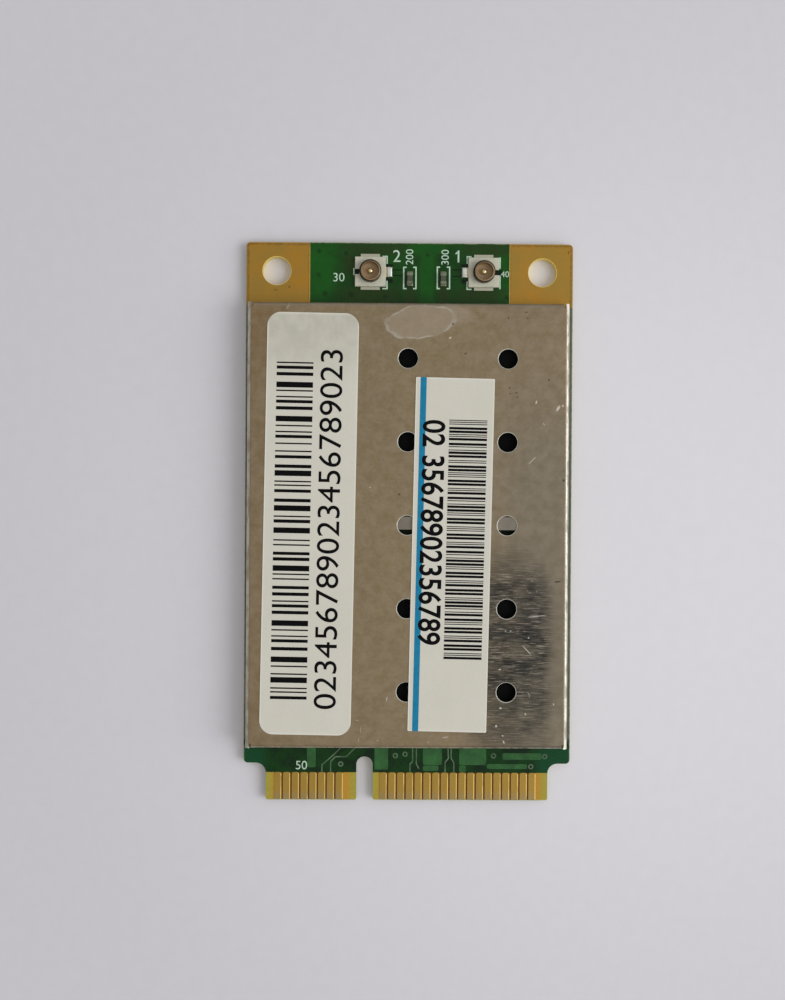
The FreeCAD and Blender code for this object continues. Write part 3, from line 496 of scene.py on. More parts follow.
class FinishTree(Tree):
    """Node tree of a new material, with its place on the card in millimetres and its surface inputs."""

    def __init__(self, name, metallic=0.0, roughness=0.5, gloss=0.5):
        self.material = bpy.data.materials.new(name)
        self.material.use_nodes = True
        super().__init__(self.material.node_tree)
        self.surface = self.tree.nodes["Principled BSDF"].inputs
        self.surface["Metallic"].default_value = metallic
        self.surface["Roughness"].default_value = roughness
        self.surface["Specular IOR Level"].default_value = gloss
        self.place = self.vector("SCALE", self.add("ShaderNodeTexCoord").outputs["Object"], Scale=1 / MM)

    def axes(self):
        return self.split(self.place)

    def grain(self, scale, spread=0.25, stretch=(1.0, 1.0, 1.0), level=0.5):
        return self.group("Grain", {
            "Place": self.place, "Stretch": stretch, "Scale": scale, "Level": level, "Spread": spread,
        })

    def mark(self, kind, x, y, half_x, half_y, degrees=0.0, softness=0.2, place=None):
        """Oval or square mark, in millimetres on the card or in the units of another place."""
        return self.group(kind, {
            "Place": place or self.place, "Centre": (x, y, 0.0), "Size": (half_x, half_y, 1.0),
            "Turn": math.radians(degrees), "Softness": softness,
        })

    def marks(self, kind, spots, softness):
        """Several marks of one kind as one mask."""
        return self.largest([self.mark(kind, *spot, softness=softness) for spot in spots])

    def paint(self, colour_value):
        self.feed(self.surface["Base Color"], colour_value)

    def emboss(self, height, strength, distance):
        """Relief from a height mask, the distance in millimetres."""
        inputs = {"Height": height, "Strength": strength, "Distance": distance * MM}
        self.feed(self.surface["Normal"], self.add("ShaderNodeBump", inputs).outputs[0])

    def uneven_gloss(self, fine, roughness, spread, relief):
        """Roughness and fine relief that follow one grain."""
        span = (roughness - spread, roughness + spread)
        self.feed(self.surface["Roughness"], self.ramp(fine, 0.0, 1.0, *span))
        self.emboss(fine, 0.35, relief)


def mask_group(name, inputs):
    """Empty node group with the given (name, socket type, default) inputs and one mask output."""
    group = bpy.data.node_groups.new(name, "ShaderNodeTree")
    for label, kind, default in inputs:
        group.interface.new_socket(name=label, in_out="INPUT", socket_type=kind).default_value = default
    group.interface.new_socket(name="Mask", in_out="OUTPUT", socket_type="NodeSocketFloat")
    tree = Tree(group)
    return group, tree, tree.add("NodeGroupInput").outputs, tree.add("NodeGroupOutput").inputs


def grain_group():
    """Cloudy grain from 0 to 1 that can be stretched into streaks."""
    group, tree, source, target = mask_group("Grain", (
        ("Place", "NodeSocketVector", (0.0, 0.0, 0.0)),
        ("Stretch", "NodeSocketVector", (1.0, 1.0, 1.0)),
        ("Scale", "NodeSocketFloat", 1.0),
        ("Level", "NodeSocketFloat", 0.5),
        ("Spread", "NodeSocketFloat", 0.25),
    ))
    drawn = tree.vector("MULTIPLY", source["Place"], source["Stretch"])
    inputs = {"Vector": drawn, "Scale": source["Scale"], "Detail": 4.0, "Roughness": 0.6}
    noise = tree.add("ShaderNodeTexNoise", inputs).outputs["Fac"]
    low = tree.less(source["Level"], source["Spread"])
    high = tree.math("ADD", source["Level"], source["Spread"])
    tree.feed(target["Mask"], tree.ramp(noise, low, high))
    return group


def mark_group(name, reach_of):
    """Soft mark, 1 inside and 0 outside, whose reach is worked out from its own two directions."""
    group, tree, source, target = mask_group(name, (
        ("Place", "NodeSocketVector", (0.0, 0.0, 0.0)),
        ("Centre", "NodeSocketVector", (0.0, 0.0, 0.0)),
        ("Size", "NodeSocketVector", (1.0, 1.0, 1.0)),
        ("Turn", "NodeSocketFloat", 0.0),
        ("Softness", "NodeSocketFloat", 0.2),
    ))
    spin = tree.add("ShaderNodeCombineXYZ", {"Z": source["Turn"]}).outputs[0]
    own_frame = {
        "Vector": source["Place"], "Location": source["Centre"], "Rotation": spin, "Scale": source["Size"],
    }
    turned = tree.add("ShaderNodeMapping", own_frame, vector_type="TEXTURE").outputs[0]
    across, along, _ = tree.split(turned)
    softness = source["Softness"]
    edge = tree.math("ADD", 1.0, softness), tree.less(1.0, softness)
    tree.feed(target["Mask"], tree.ramp(reach_of(tree, across, along), *edge))
    return group


def oval_reach(tree, across, along):
    """Distance from the middle of an oval."""
    return tree.measure("LENGTH", tree.add("ShaderNodeCombineXYZ", {"X": across, "Y": along}).outputs[0])


def square_reach(tree, across, along):
    """Distance from the middle of a four-sided mark."""
    return tree.largest([tree.size(across), tree.size(along)])


OVAL = "Oval mark"
SQUARE = "Square mark"
GROUP_MAKERS = {
    "Grain": grain_group,
    OVAL: lambda: mark_group(OVAL, oval_reach),
    SQUARE: lambda: mark_group(SQUARE, square_reach),
}


def shared(name):
    """Shared node group of that name, built when it is first needed."""
    return bpy.data.node_groups.get(name) or GROUP_MAKERS[name]()


def cloudy_finish(look, name):
    """Finish that drifts between a colour and its clouds, with fine relief and uneven gloss."""
    colour_name, share, metallic, roughness, scale, gloss = CLOUDY_FINISHES[name]
    base = getattr(look, colour_name)
    tree = FinishTree(name, metallic, gloss=gloss)
    tree.paint(tree.mix(tree.grain(scale), base, dimmed(base, share)))
    tree.uneven_gloss(tree.grain(scale * 9), roughness, 0.08, 0.004)
    return tree.material


def contact_step(tree, row):
    """Place within the contact pitch, from 0 to 1, counted from the left side of a row's contacts."""
    x, _, _ = tree.axes()
    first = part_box(row)[0].x / MM
    return tree.math("FRACT", tree.math("DIVIDE", tree.less(x, first), CONTACT_PITCH))


def upper_lacquer(tree, look):
    """Lacquer of the upper face: brown over laminate, dark by the contacts, lighter on the shoulders as a
    painted reflection.
    """
    x, y, _ = tree.axes()
    cloud = tree.grain(0.6)
    coat = tree.mix(cloud, look.lacquer, dimmed(look.lacquer, 0.55), 0.8)
    light = tree.times(tree.marks(SQUARE, LIGHT_PATCHES, 0.4), tree.ramp(cloud, 1.0, 0.0, 0.5, 1.0))
    coat = tree.mix(light, coat, look.lacquer_light)
    coat = tree.mix(tree.marks(SQUARE, BROWN_PATCHES, 0.55), coat, look.lacquer_brown, 0.55)
    coat = tree.mix(tree.marks(OVAL, DARK_VIAS, 0.5), coat, look.lacquer_dark, 0.6)
    by_contacts = tree.ramp(y, *CONTACT_END)
    patches = tree.mix(tree.grain(0.75, 0.12), look.lacquer_dark, dimmed(look.lacquer_light, 0.45))
    coat = tree.mix(by_contacts, coat, patches)
    # Painted reflection on the shoulders beside the tongue
    shoulders = tree.largest([tree.ramp(x, *LEFT_SHOULDER_SHEEN), tree.ramp(x, *RIGHT_SHOULDER_SHEEN)])
    coat = tree.mix(tree.times(by_contacts, shoulders), coat, look.lacquer_sheen)
    # Darker grey lacquer in patches along the board's sides beside the cover
    margin = tree.times(tree.ramp(tree.size(x), *SIDE_MARGIN), tree.ramp(tree.size(y), *SIDE_MARGIN_ENDS))
    patchy_grey = tree.ramp(tree.grain(0.5, stretch=(1.0, 0.5, 1.0)), 0.0, 1.0, 0.6, 1.0)
    coat = tree.mix(tree.times(margin, patchy_grey), coat, dimmed(look.paper_grey, 0.32))
    # Painted shadow cast by the cover on the lacquer just below its edge
    cover_shadow = tree.times(by_contacts, tree.ramp(y, *COVER_SHADOW_BAND))
    coat = tree.mix(cover_shadow, coat, dimmed(look.lacquer_dark, 0.3), 0.7)
    # Darker lacquer at the clearances, and painted shade on the board at the jacks' notches
    return tree.mix(tree.marks(SQUARE, CLEARANCES_AND_NOTCH_SHADE, 0.25), coat, dimmed(look.lacquer_dark, 0.3), 0.9)


def lower_lacquer(tree, look):
    """Lacquer of the underside, over a ground field with covered vias and lines up from the contacts."""
    _, y, _ = tree.axes()
    coat = tree.mix(tree.grain(0.3), look.lacquer, dimmed(look.lacquer, 0.55), 0.7)
    cells = tree.vector("DIVIDE", tree.place, (UNDERSIDE_VIA_PITCH, UNDERSIDE_VIA_PITCH, 1.0))
    via = tree.mark(OVAL, *UNDERSIDE_VIA, softness=0.35, place=tree.vector("FRACTION", cells))
    vias = tree.times(via, tree.grain(0.7, 0.05))
    off_line = tree.less(contact_step(tree, "edge_contacts_bottom"), UNDERSIDE_LINE_MIDDLE)
    line = tree.ramp(tree.size(off_line), *UNDERSIDE_LINE_EDGE)
    run = tree.times(tree.ramp(y, *UNDERSIDE_LINES_END), tree.grain(0.9, 0.05, (1.0, 0.02, 1.0)))
    return tree.mix(tree.largest([vias, tree.times(line, run)]), coat, look.lacquer_copper, 0.8)


def bare_laminate(tree, look):
    """Laminate in the windows: gold-brown by the pads, orange on the tongue, yellow at its cut edges."""
    x, y, _ = tree.axes()
    from_side = tree.less(TONGUE_HALF_WIDTH, tree.size(x))
    from_key = tree.less(tree.size(tree.less(x, KEY_CENTRE)), KEY_HALF_WIDTH)
    thin = tree.ramp(tree.math("MINIMUM", from_side, from_key), *THIN_LAMINATE)
    tongue = tree.mix(thin, look.laminate_tongue, look.laminate_thin)
    # Laminate between the contacts: its own colour, and painted shade
    tongue = tree.mix(tree.marks(SQUARE, CONTACT_GROUPS, 0.01), tongue, look.laminate_gap_shade, 0.95)
    bare = tree.mix(tree.ramp(y, *TONGUE_START), look.laminate, tongue)
    return tree.mix(tree.grain(6.0), bare, dimmed(look.laminate, 0.6), 0.25)


def cut_edge(tree, look):
    """Cut edge of the laminate, with its layers of glass."""
    layers = tree.grain(1.0, 0.15, (1.2, 1.2, 14.0))
    return tree.mix(layers, look.cut_edge, dimmed(look.laminate_thin, 0.7), 0.6)


def board_finish(look):
    """Lacquer on both faces, bare laminate in the windows and glass layers along the cut edge."""
    tree = FinishTree("board lacquer", gloss=0.14)
    x, y, z = tree.axes()
    depth = tree.size(tree.less(z, BOARD_MIDDLE))
    upper = tree.ramp(z, *UPPER_HALF)
    coat = tree.mix(upper, lower_lacquer(tree, look), upper_lacquer(tree, look))
    from_side = tree.less(BOARD_HIGH.x / MM, tree.size(x))
    from_end = tree.less(BOARD_HIGH.y / MM, y)
    from_edge = tree.math("MINIMUM", from_side, from_end)
    chipped = tree.times(tree.ramp(from_edge, *CHIPPED_EDGE), tree.grain(2.5))
    coat = tree.mix(chipped, coat, look.cut_edge, 0.5)
    in_window = tree.ramp(depth, *WINDOW_DEPTH)
    bare = tree.mix(in_window, cut_edge(tree, look), bare_laminate(tree, look))
    on_face = tree.ramp(depth, *FACE_DEPTH)
    tree.paint(tree.mix(on_face, bare, coat))
    tree.uneven_gloss(tree.grain(5.0), 0.32, 0.07, 0.006)
    return tree.material


def contact_finish(look, row):
    """Gold with a painted highlight down one side of each contact, broken by the wear grain, and wear
    towards the tip.
    """
    tree = FinishTree("contact gold", 0.8)
    _, y, _ = tree.axes()
    wear = tree.grain(1.3, stretch=(1.6, 0.4, 1.0))
    # Painted highlight along one side of each contact; the polished mask carries it
    lit_side = tree.ramp(contact_step(tree, row), *HIGHLIT_SIDE)
    polished = tree.times(lit_side, tree.ramp(wear, 0.0, 0.6, 0.25, 1.0))
    base = tree.mix(wear, look.gold, dimmed(look.gold, 0.75), 0.4)
    base = tree.mix(tree.ramp(y, *CONTACT_TIP), base, dimmed(look.paper_grey, 0.6), 0.35)
    tree.paint(tree.mix(polished, base, look.gold_highlight))
    tree.uneven_gloss(tree.grain(9.0), 0.36, 0.09, 0.004)
    return tree.material


def pad_marks(tree):
    """Masks of the pads' ragged edges and of their inner sides, which catch the light."""
    insides = []
    inner_sides = []
    for node, side in (("mount_pad_left", 1), ("mount_pad_right", -1)):
        low, high = (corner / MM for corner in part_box(node))
        middle = (low + high) / 2
        half = (high - low) / 2 - Vector((PAD_EDGE, PAD_EDGE, 0.0))
        insides.append((middle.x, middle.y, half.x, half.y))
        inner_sides.append((high.x if side > 0 else low.x, middle.y, PAD_EDGE / 2, half.y))
    return tree.less(1.0, tree.marks(SQUARE, insides, 0.04)), tree.marks(SQUARE, inner_sides, 0.3)


def pad_finish(look):
    """Gold of the ground pads, tarnished along ragged edges, with a painted highlight on their inner sides
    and brighter plating in the holes.
    """
    tree = FinishTree("pad gold", 0.7)
    edge, inner = pad_marks(tree)
    ragged = tree.times(edge, tree.ramp(tree.grain(3.2), 0.1, 0.7, 0.2, 0.85))
    base = tree.mix(tree.grain(0.45, 0.3), look.gold_orange, look.gold_olive)
    base = tree.mix(tree.grain(12.0), base, look.gold_tarnish_and_warm_reflection, 0.15)
    base = tree.mix(tree.largest([ragged, tree.marks(OVAL, PAD_SPECKS, 0.5)]), base, look.gold_tarnish_and_warm_reflection)
    # Painted highlight on the pads' inner sides
    base = tree.mix(inner, base, look.gold_highlight, 0.5)
    barrels = tree.marks(OVAL, [(*centre, BARREL_REACH, BARREL_REACH) for centre in HOLE_CENTRES], 0.01)
    tree.paint(tree.mix(barrels, base, look.gold_barrel))
    tree.uneven_gloss(tree.grain(5.0), 0.41, 0.09, 0.006)
    return tree.material


def reflected_sheet(tree, look, sheet):
    """Painted reflection: a dark grey zone with fine dark and pale streaks across the sheet, low on its
    right side.
    """
    x, _, _ = tree.axes()
    lower = tree.times(tree.mark(OVAL, *LOWER_DARK_REFLECTION, softness=0.5), 0.75)
    zone = tree.largest([tree.mark(OVAL, *DARK_REFLECTION, softness=0.4), lower])
    zone = tree.times(zone, tree.ramp(x, *DARK_REFLECTION_SIDE, 0.3, 1.0))
    patchy = tree.times(zone, tree.ramp(tree.grain(0.55, stretch=(0.7, 1.4, 1.0)), 0.0, 0.8, 0.55, 1.0))
    sheet = tree.mix(patchy, sheet, look.lid_dark_reflection, 0.95)
    dark = tree.times(tree.grain(1.0, 0.08, (0.6, 12.0, 1.0), 0.54), patchy)
    sheet = tree.mix(dark, sheet, look.lid_specks_and_reflected_streaks, 0.85)
    pale = tree.times(tree.grain(1.0, 0.05, (0.8, 12.0, 3.0), 0.6), zone)
    return tree.mix(pale, sheet, look.lid_film_and_pale_reflection, 0.5)


def smeared_sheet(tree, look, sheet):
    """Film of a dried drop near the jack end, with a broken pale outline."""
    noise = tree.add("ShaderNodeTexNoise", {"Vector": tree.place, "Scale": 0.7, "Detail": 2.0})
    fuzz = tree.vector("SUBTRACT", noise.outputs["Color"], (0.5, 0.5, 0.5))
    moved = tree.vector("ADD", tree.place, tree.vector("SCALE", fuzz, Scale=0.7))
    drop = tree.mark(OVAL, *SMEAR, softness=0.05, place=moved)
    inside = tree.mark(OVAL, *SMEAR_INSIDE, softness=0.06, place=moved)
    veil = tree.mark(OVAL, *SMEAR_VEIL, softness=0.3, place=moved)
    film = tree.largest([tree.times(drop, 0.34), tree.times(veil, 0.25)])
    sheet = tree.mix(film, sheet, look.lid_film_and_pale_reflection)
    rim = tree.times(tree.less(drop, inside), tree.grain(0.9, 0.15, level=0.46))
    return tree.mix(rim, sheet, dimmed(look.lid_bare_and_highlight, 0.6), 0.7)


def bare_and_highlit_metal(tree):
    """Mask of what shines: bare metal at nicks, scratches and dried rings, and painted highlights on the
    vents' rims and the bends.
    """
    x, y, z = tree.axes()
    nicks = tree.times(tree.marks(OVAL, BRIGHT_NICKS, 0.7), 0.52)
    lines = tree.times(tree.marks(SQUARE, SCRATCHES, 0.4), 0.45)
    rings = tree.less(tree.marks(OVAL, WATER_RINGS, 0.1), tree.marks(OVAL, DRIED_INSIDES, 0.1))
    rings = tree.times(rings, tree.times(tree.grain(1.4, 0.05, level=0.55), 0.2))
    inland = tree.times(tree.ramp(tree.size(x), *VENTS_SIDE), tree.ramp(tree.size(y), *VENTS_END))
    # Painted highlights on the vents' rims and, below, on the cover's bends
    rims = tree.times(tree.ramp(z, *VENT_RIM_HIGHLIGHT), inland)
    bend_highlight_grain = tree.grain(0.8, 0.15, (3.0, 1.0, 1.0), 0.47)
    right = tree.times(tree.ramp(x, *RIGHT_BEND_HIGHLIGHT), tree.ramp(bend_highlight_grain, 0.0, 1.0, 0.3, 0.8))
    lower = tree.times(tree.ramp(y, *CONTACT_BEND_HIGHLIGHT), tree.ramp(bend_highlight_grain, 0.0, 1.0, 0.2, 0.6))
    upper = tree.times(tree.ramp(y, *JACK_BEND_HIGHLIGHT), 0.1)
    left = tree.times(tree.ramp(x, *LEFT_BEND_HIGHLIGHT), tree.ramp(bend_highlight_grain, 0.0, 1.0, 0.3, 0.65))
    return tree.largest([nicks, lines, rings, rims, right, lower, upper, left])


def lid_finish(look):
    """Dull tinned sheet with rolling marks, painted grey, warm and dark streaked reflections, a dried
    smear, nicks, and painted highlights on its bends and vent rims.
    """
    tree = FinishTree("cover sheet", 0.75)
    x, y, _ = tree.axes()
    fine = tree.grain(7.0)
    rolled = tree.grain(1.6, 0.3, (0.25, 5.0, 1.0))
    sheet = tree.mix(tree.grain(0.25), look.lid, dimmed(look.lid, 0.86), 0.55)
    sheet = tree.mix(tree.grain(3.2, 0.12), sheet, dimmed(look.lid, 0.6), 0.3)
    # Painted reflections: grey along the right side, warm at the upper left
    grey = tree.times(tree.ramp(x, *GREY_REFLECTION_SIDE), tree.ramp(y, *GREY_REFLECTION_END, 0.2, 0.8))
    sheet = tree.mix(grey, sheet, look.lid_grey_reflection)
    warm = tree.times(tree.ramp(x, *WARM_REFLECTION_SIDE), tree.ramp(y, *WARM_REFLECTION_END, 0.15, 0.4))
    sheet = tree.mix(warm, sheet, look.gold_tarnish_and_warm_reflection)
    sheet = tree.mix(rolled, sheet, dimmed(look.lid, 0.6), 0.24)
    sheet = tree.mix(tree.grain(1.1), sheet, look.lid_film_and_pale_reflection, 0.2)
    # Painted reflection low on the right side, then the dried smear
    sheet = smeared_sheet(tree, look, reflected_sheet(tree, look, sheet))
    sheet = tree.mix(tree.marks(OVAL, DARK_SPECKS, 0.5), sheet, look.lid_specks_and_reflected_streaks, 0.75)
    # Bare metal marks and painted highlights
    tree.paint(tree.mix(bare_and_highlit_metal(tree), sheet, look.lid_bare_and_highlight))
    tree.feed(tree.surface["Roughness"], tree.ramp(fine, 0.0, 1.0, 0.35, 0.5))
    tree.emboss(tree.math("ADD", fine, tree.times(rolled, 0.8)), 0.3, 0.006)
    return tree.material


def paper_finish(look, node, width, height, angle, soiled):
    """Label stock with a paler cut edge, soiled by some amount towards the jack end."""
    tree = FinishTree(node.replace("_", " ") + " paper", gloss=0.2)
    _, y, _ = tree.axes()
    middle = label_place(node) / MM
    half = (width / MM / 2 - LABEL_RIM, height / MM / 2 - LABEL_RIM)
    inside = tree.mark(SQUARE, middle.x, middle.y, *half, -math.degrees(angle), 0.01)
    fibres = tree.grain(4.0)
    cloud = tree.grain(0.5, stretch=(1.0, 0.7, 1.0))
    soil = tree.times(tree.ramp(y, *SOILED_END), tree.ramp(cloud, 0.0, 1.0, 0.5 * soiled, soiled))
    stock = tree.mix(soil, look.paper, look.paper_grey)
    stock = tree.mix(cloud, stock, look.paper_grey, 0.12)
    stock = tree.mix(fibres, stock, dimmed(look.paper, 0.6), 0.08)
    tree.paint(tree.mix(tree.less(1.0, inside), stock, look.paper_rim, 0.7))
    tree.uneven_gloss(fibres, 0.65, 0.1, 0.004)
    return tree.material


def inside_jacks(tree, reach, shift=(0.0, 0.0)):
    """Mask of the round insides of both jacks."""
    boxes = [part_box(f"antenna_jack_{number}_shell") for number in (1, 2)]
    centres = [((low + high) / 2 / MM).to_2d() for low, high in boxes]
    return tree.marks(OVAL, [(x + shift[0], y + shift[1], reach, reach) for x, y in centres], 0.05)


def ring_finish(look):
    """Plated ring of the jacks: painted shade outside its opening, with solder on its feet."""
    tree = FinishTree("jack ring", 0.85)
    _, _, z = tree.axes()
    plated = tree.mix(tree.grain(2.0), look.ring, dimmed(look.ring, 0.7), 0.5)
    # Painted shade: the ring is dark outside its opening
    plated = tree.mix(inside_jacks(tree, RING_OPENING, RING_SHADE_SHIFT), dimmed(look.ring, 0.12), plated)
    feet = tree.ramp(z, *(BOARD_TOP / MM + level for level in FEET_STEP))
    tree.paint(tree.mix(feet, plated, look.ring_feet))
    tree.uneven_gloss(tree.grain(14.0), 0.34, 0.08, 0.003)
    return tree.material


def jack_base_finish(look):
    """Ivory moulding of the jacks, browner inside the ring as painted shade."""
    tree = FinishTree("jack moulding", gloss=0.3)
    moulded = tree.mix(tree.grain(1.6), look.ivory, dimmed(look.ivory, 0.75), 0.6)
    tree.paint(tree.mix(inside_jacks(tree, JACK_SHADED_FLOOR), moulded, look.ivory_shaded_floor))
    tree.uneven_gloss(tree.grain(14.0), 0.5, 0.08, 0.004)
    return tree.material


def floor_finish(look):
    """Plain pale sheet with a faint tooth, a little darker away from the light."""
    tree = FinishTree("floor", roughness=0.85, gloss=0.2)
    tooth = tree.grain(0.8)
    away = tree.ramp(tree.measure("DISTANCE", tree.place, FLOOR_BRIGHTEST), *FLOOR_DIMMING, 0.0, 0.33)
    amount = tree.math("ADD", away, tree.times(tooth, 0.05))
    tree.paint(tree.mix(amount, look.floor, dimmed(look.floor, 0.6)))
    tree.emboss(tooth, 0.1, 0.02)
    return tree.material


def of_kind(geom, kind):
    """Parts of one kind in the result of an operator."""
    return [part for part in geom if isinstance(part, kind)]


def edges_of(verts):
    """Edges that meet at the given points, each once and in a steady order."""
    return list(dict.fromkeys(edge for vert in verts for edge in vert.link_edges))


def raise_copy(bm, geom, rise):
    """Lift what an extrusion added."""
    bmesh.ops.translate(bm, vec=(0.0, 0.0, rise), verts=of_kind(geom, bmesh.types.BMVert))


def block(bm, size):
    """Points of a new block round the origin."""
    verts = bmesh.ops.create_cube(bm, size=1.0)["verts"]
    bmesh.ops.scale(bm, vec=size, verts=verts)
    return verts


def round_off(bm, geom, radius, segments=4, affect="EDGES"):
    """Round edges or corners, and give the points that this makes."""
    return bmesh.ops.bevel(
        bm, geom=geom, offset=radius, segments=segments, profile=0.5, affect=affect, material=-1
    )["verts"]


def plate(bm, low, high, z, rise, corner=0.0):
    """Flat plate between two corners in mm, on the level z, its upright edges rounded by corner."""
    low, high = mm(*low), mm(*high)
    verts = block(bm, (high[0] - low[0], high[1] - low[1], rise))
    middle = ((low[0] + high[0]) / 2, (low[1] + high[1]) / 2, z + rise / 2)
    bmesh.ops.translate(bm, vec=middle, verts=verts)
    if corner:
        upright = [edge for edge in edges_of(verts) if edge.verts[0].co.xy == edge.verts[1].co.xy]
        round_off(bm, upright, corner)


def standing_line(bm, points, z, rise):
    """Thin wall along a bent line, which a Solidify modifier gives its width."""
    chain = [bm.verts.new((*mm(*point), z)) for point in points]
    edges = [bm.edges.new(pair) for pair in zip(chain, chain[1:])]
    raise_copy(bm, bmesh.ops.extrude_edge_only(bm, edges=edges)["geom"], rise)


def via_ring(bm, place, hole, radius, z, rise):
    """Raised ring round a via."""
    profile = ((hole, z), (radius, z), (radius, z + rise), (hole, z + rise))
    verts = [bm.verts.new((place[0] + reach, place[1], level)) for reach, level in profile]
    edges = [bm.edges.new(pair) for pair in zip(verts, verts[1:] + verts[:1])]
    bmesh.ops.spin(
        bm, geom=[*verts, *edges], cent=(*place, z), axis=(0.0, 0.0, 1.0), angle=math.tau, steps=20,
        use_merge=True,
    )


def solder_lump(bm, x, y, size, rounding, lift):
    """Rounded drop of solder, its sizes in mm, that ends at the board."""
    verts = block(bm, mm(*size))
    shaped = round_off(bm, edges_of(verts), rounding * MM)
    lump = list(dict.fromkeys([*shaped, *[vert for vert in verts if vert.is_valid]]))
    bmesh.ops.translate(bm, vec=(x, y, BOARD_TOP + lift * MM), verts=lump)
    faces = dict.fromkeys(face for vert in lump for face in vert.link_faces)
    cut = bmesh.ops.bisect_plane(
        bm, geom=[*lump, *edges_of(lump), *faces], dist=1e-8, plane_co=(0.0, 0.0, BOARD_TOP),
        plane_no=(0.0, 0.0, -1.0), clear_outer=True,
    )["geom_cut"]
    bmesh.ops.holes_fill(bm, edges=of_kind(cut, bmesh.types.BMEdge))


def add_digits(bm, text, place, degrees, height, rise, run=None, weight=0.0):
    """Plain digits of a given height round a place, as long as run and heavier by weight where given."""
    curve = bpy.data.curves.new("digits", "FONT")
    curve.body = text
    curve.extrude = 0.5
    curve.offset = weight
    holder = bpy.data.objects.new("digits", curve)
    bpy.context.scene.collection.objects.link(holder)
    bpy.context.view_layer.update()
    mesh = bpy.data.meshes.new_from_object(holder)
    low = Vector([min(vert.co[axis] for vert in mesh.vertices) for axis in range(3)])
    high = Vector([max(vert.co[axis] for vert in mesh.vertices) for axis in range(3)])
    tall = height / (high.y - low.y)
    wide = run / (high.x - low.x) if run else tall
    sized = Matrix.Diagonal((wide, tall, rise / (high.z - low.z), 1.0))
    mesh.transform(sized @ Matrix.Translation((-(low.x + high.x) / 2, -(low.y + high.y) / 2, -low.z)))
    mesh.transform(Matrix.Translation(place) @ Matrix.Rotation(math.radians(degrees), 4, "Z"))
    bm.from_mesh(mesh)
    bpy.data.objects.remove(holder)
    bpy.data.curves.remove(curve)
    bpy.data.meshes.remove(mesh)


def add_bars(bm, low, high, widths, gaps, z, rise):
    """Stack of printed bars from the top down, their widths and gaps chosen by two drifting counts."""
    level = high[1]
    step = 0
    while level - max(widths) > low[1]:
        thick = widths[int(len(widths) * (step * WIDTH_DRIFT % 1))]
        plate(bm, (low[0], level - thick), (high[0], level), z, rise)
        level -= thick + gaps[int(len(gaps) * (step * GAP_DRIFT % 1))]
        step += 1


def add_piece(name, bm, material):
    """Turn a finished bmesh into an object that rides on the card."""
    bmesh.ops.remove_doubles(bm, verts=bm.verts[:], dist=1e-7)
    bmesh.ops.recalc_face_normals(bm, faces=bm.faces[:])
    piece = add_object(name, bm, material)
    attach(piece, "root")
    return piece


def add_object(name, bm, material):
    """Object of one material, made from a bmesh that is then freed."""
    mesh = bpy.data.meshes.new(name)
    bm.to_mesh(mesh)
    bm.free()
    mesh.materials.append(material)
    made = bpy.data.objects.new(name, mesh)
    bpy.context.scene.collection.objects.link(made)
    return made


def add_lines(name, lines, width, rise, material):
    """Raised lines on the board, widened by a modifier."""
    bm = bmesh.new()
    for points in lines:
        standing_line(bm, points, BOARD_TOP, rise)
    piece = add_piece(name, bm, material)
    widen = piece.modifiers.new("Line width", "SOLIDIFY")
    widen.thickness = width
    widen.offset = 0.0
    widen.use_even_offset = True


def label_place(node):
    """Middle of a label's underside."""
    low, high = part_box(node)
    return Vector(((low.x + high.x) / 2, (low.y + high.y) / 2, low.z))


def on_label(bm, node):
    """Move what was made round the origin to its label."""
    angle = getattr(bpy.context.scene.card_sizes, f"{node}_turn")
    bm.transform(Matrix.Translation(label_place(node)) @ Matrix.Rotation(-angle, 4, "Z"))
    return bm


def add_label(look, sizes, node, soiled):
    """Sheet of label stock with rounded corners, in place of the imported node."""
    width, height, corner, angle = (
        getattr(sizes, f"{node}_{part}") for part in ("width", "length", "corner", "turn")
    )
    bm = bmesh.new()
    bmesh.ops.create_grid(bm, x_segments=1, y_segments=1, size=0.5)
    bmesh.ops.scale(bm, vec=(width, height, 1.0), verts=bm.verts[:])
    round_off(bm, bm.verts[:], corner, sizes.corner_steps, "VERTICES")
    raised = bmesh.ops.extrude_face_region(bm, geom=bm.faces[:], use_keep_orig=True)["geom"]
    raise_copy(bm, raised, sizes.label_sheet)
    paper = paper_finish(look, node, width, height, angle, soiled)
    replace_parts(add_piece(f"{node}_sheet", on_label(bm, node), paper), node)


def add_label_print(look, sizes, node, bars, digits):
    """Plain bars and a plain run of digits on a label."""
    ink = cloudy_finish(look, node.replace("_", " ") + " ink")
    level, rise = sizes.label_sheet, sizes.ink_rise
    bm = bmesh.new()
    add_bars(bm, **bars, z=level, rise=rise)
    add_piece(f"{node}_bars", on_label(bm, node), ink)
    bm = bmesh.new()
    place = (*mm(*digits["middle"]), level)
    height, run = mm(digits["height"], digits["run"])
    text = getattr(sizes, f"{node}_digits")
    add_digits(bm, text, place, digits["degrees"], height, rise, run, digits["weight"])
    add_piece(f"{node}_digits", on_label(bm, node), ink)


def dress(material, *nodes):
    """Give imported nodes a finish."""
    for node in nodes:
        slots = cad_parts[node].data.materials
        slots.clear()
        slots.append(material)


def nodes_ending(*endings):
    """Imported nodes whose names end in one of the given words."""
    return [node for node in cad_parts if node.endswith(endings)]


class MINICARD_OT_board(bpy.types.Operator):
    """Finish the board, its contacts and its ground pads"""

    bl_idname = "minicard.board"
    bl_label = "Board"
    bl_options = {"REGISTER", "UNDO"}

    def execute(self, context):
        look = context.scene.card_colours
        dress(board_finish(look), "circuit_board")
        for row in ("edge_contacts_top", "edge_contacts_bottom"):
            dress(contact_finish(look, row), row)
        dress(pad_finish(look), "mount_pad_left", "mount_pad_right")
        return {"FINISHED"}


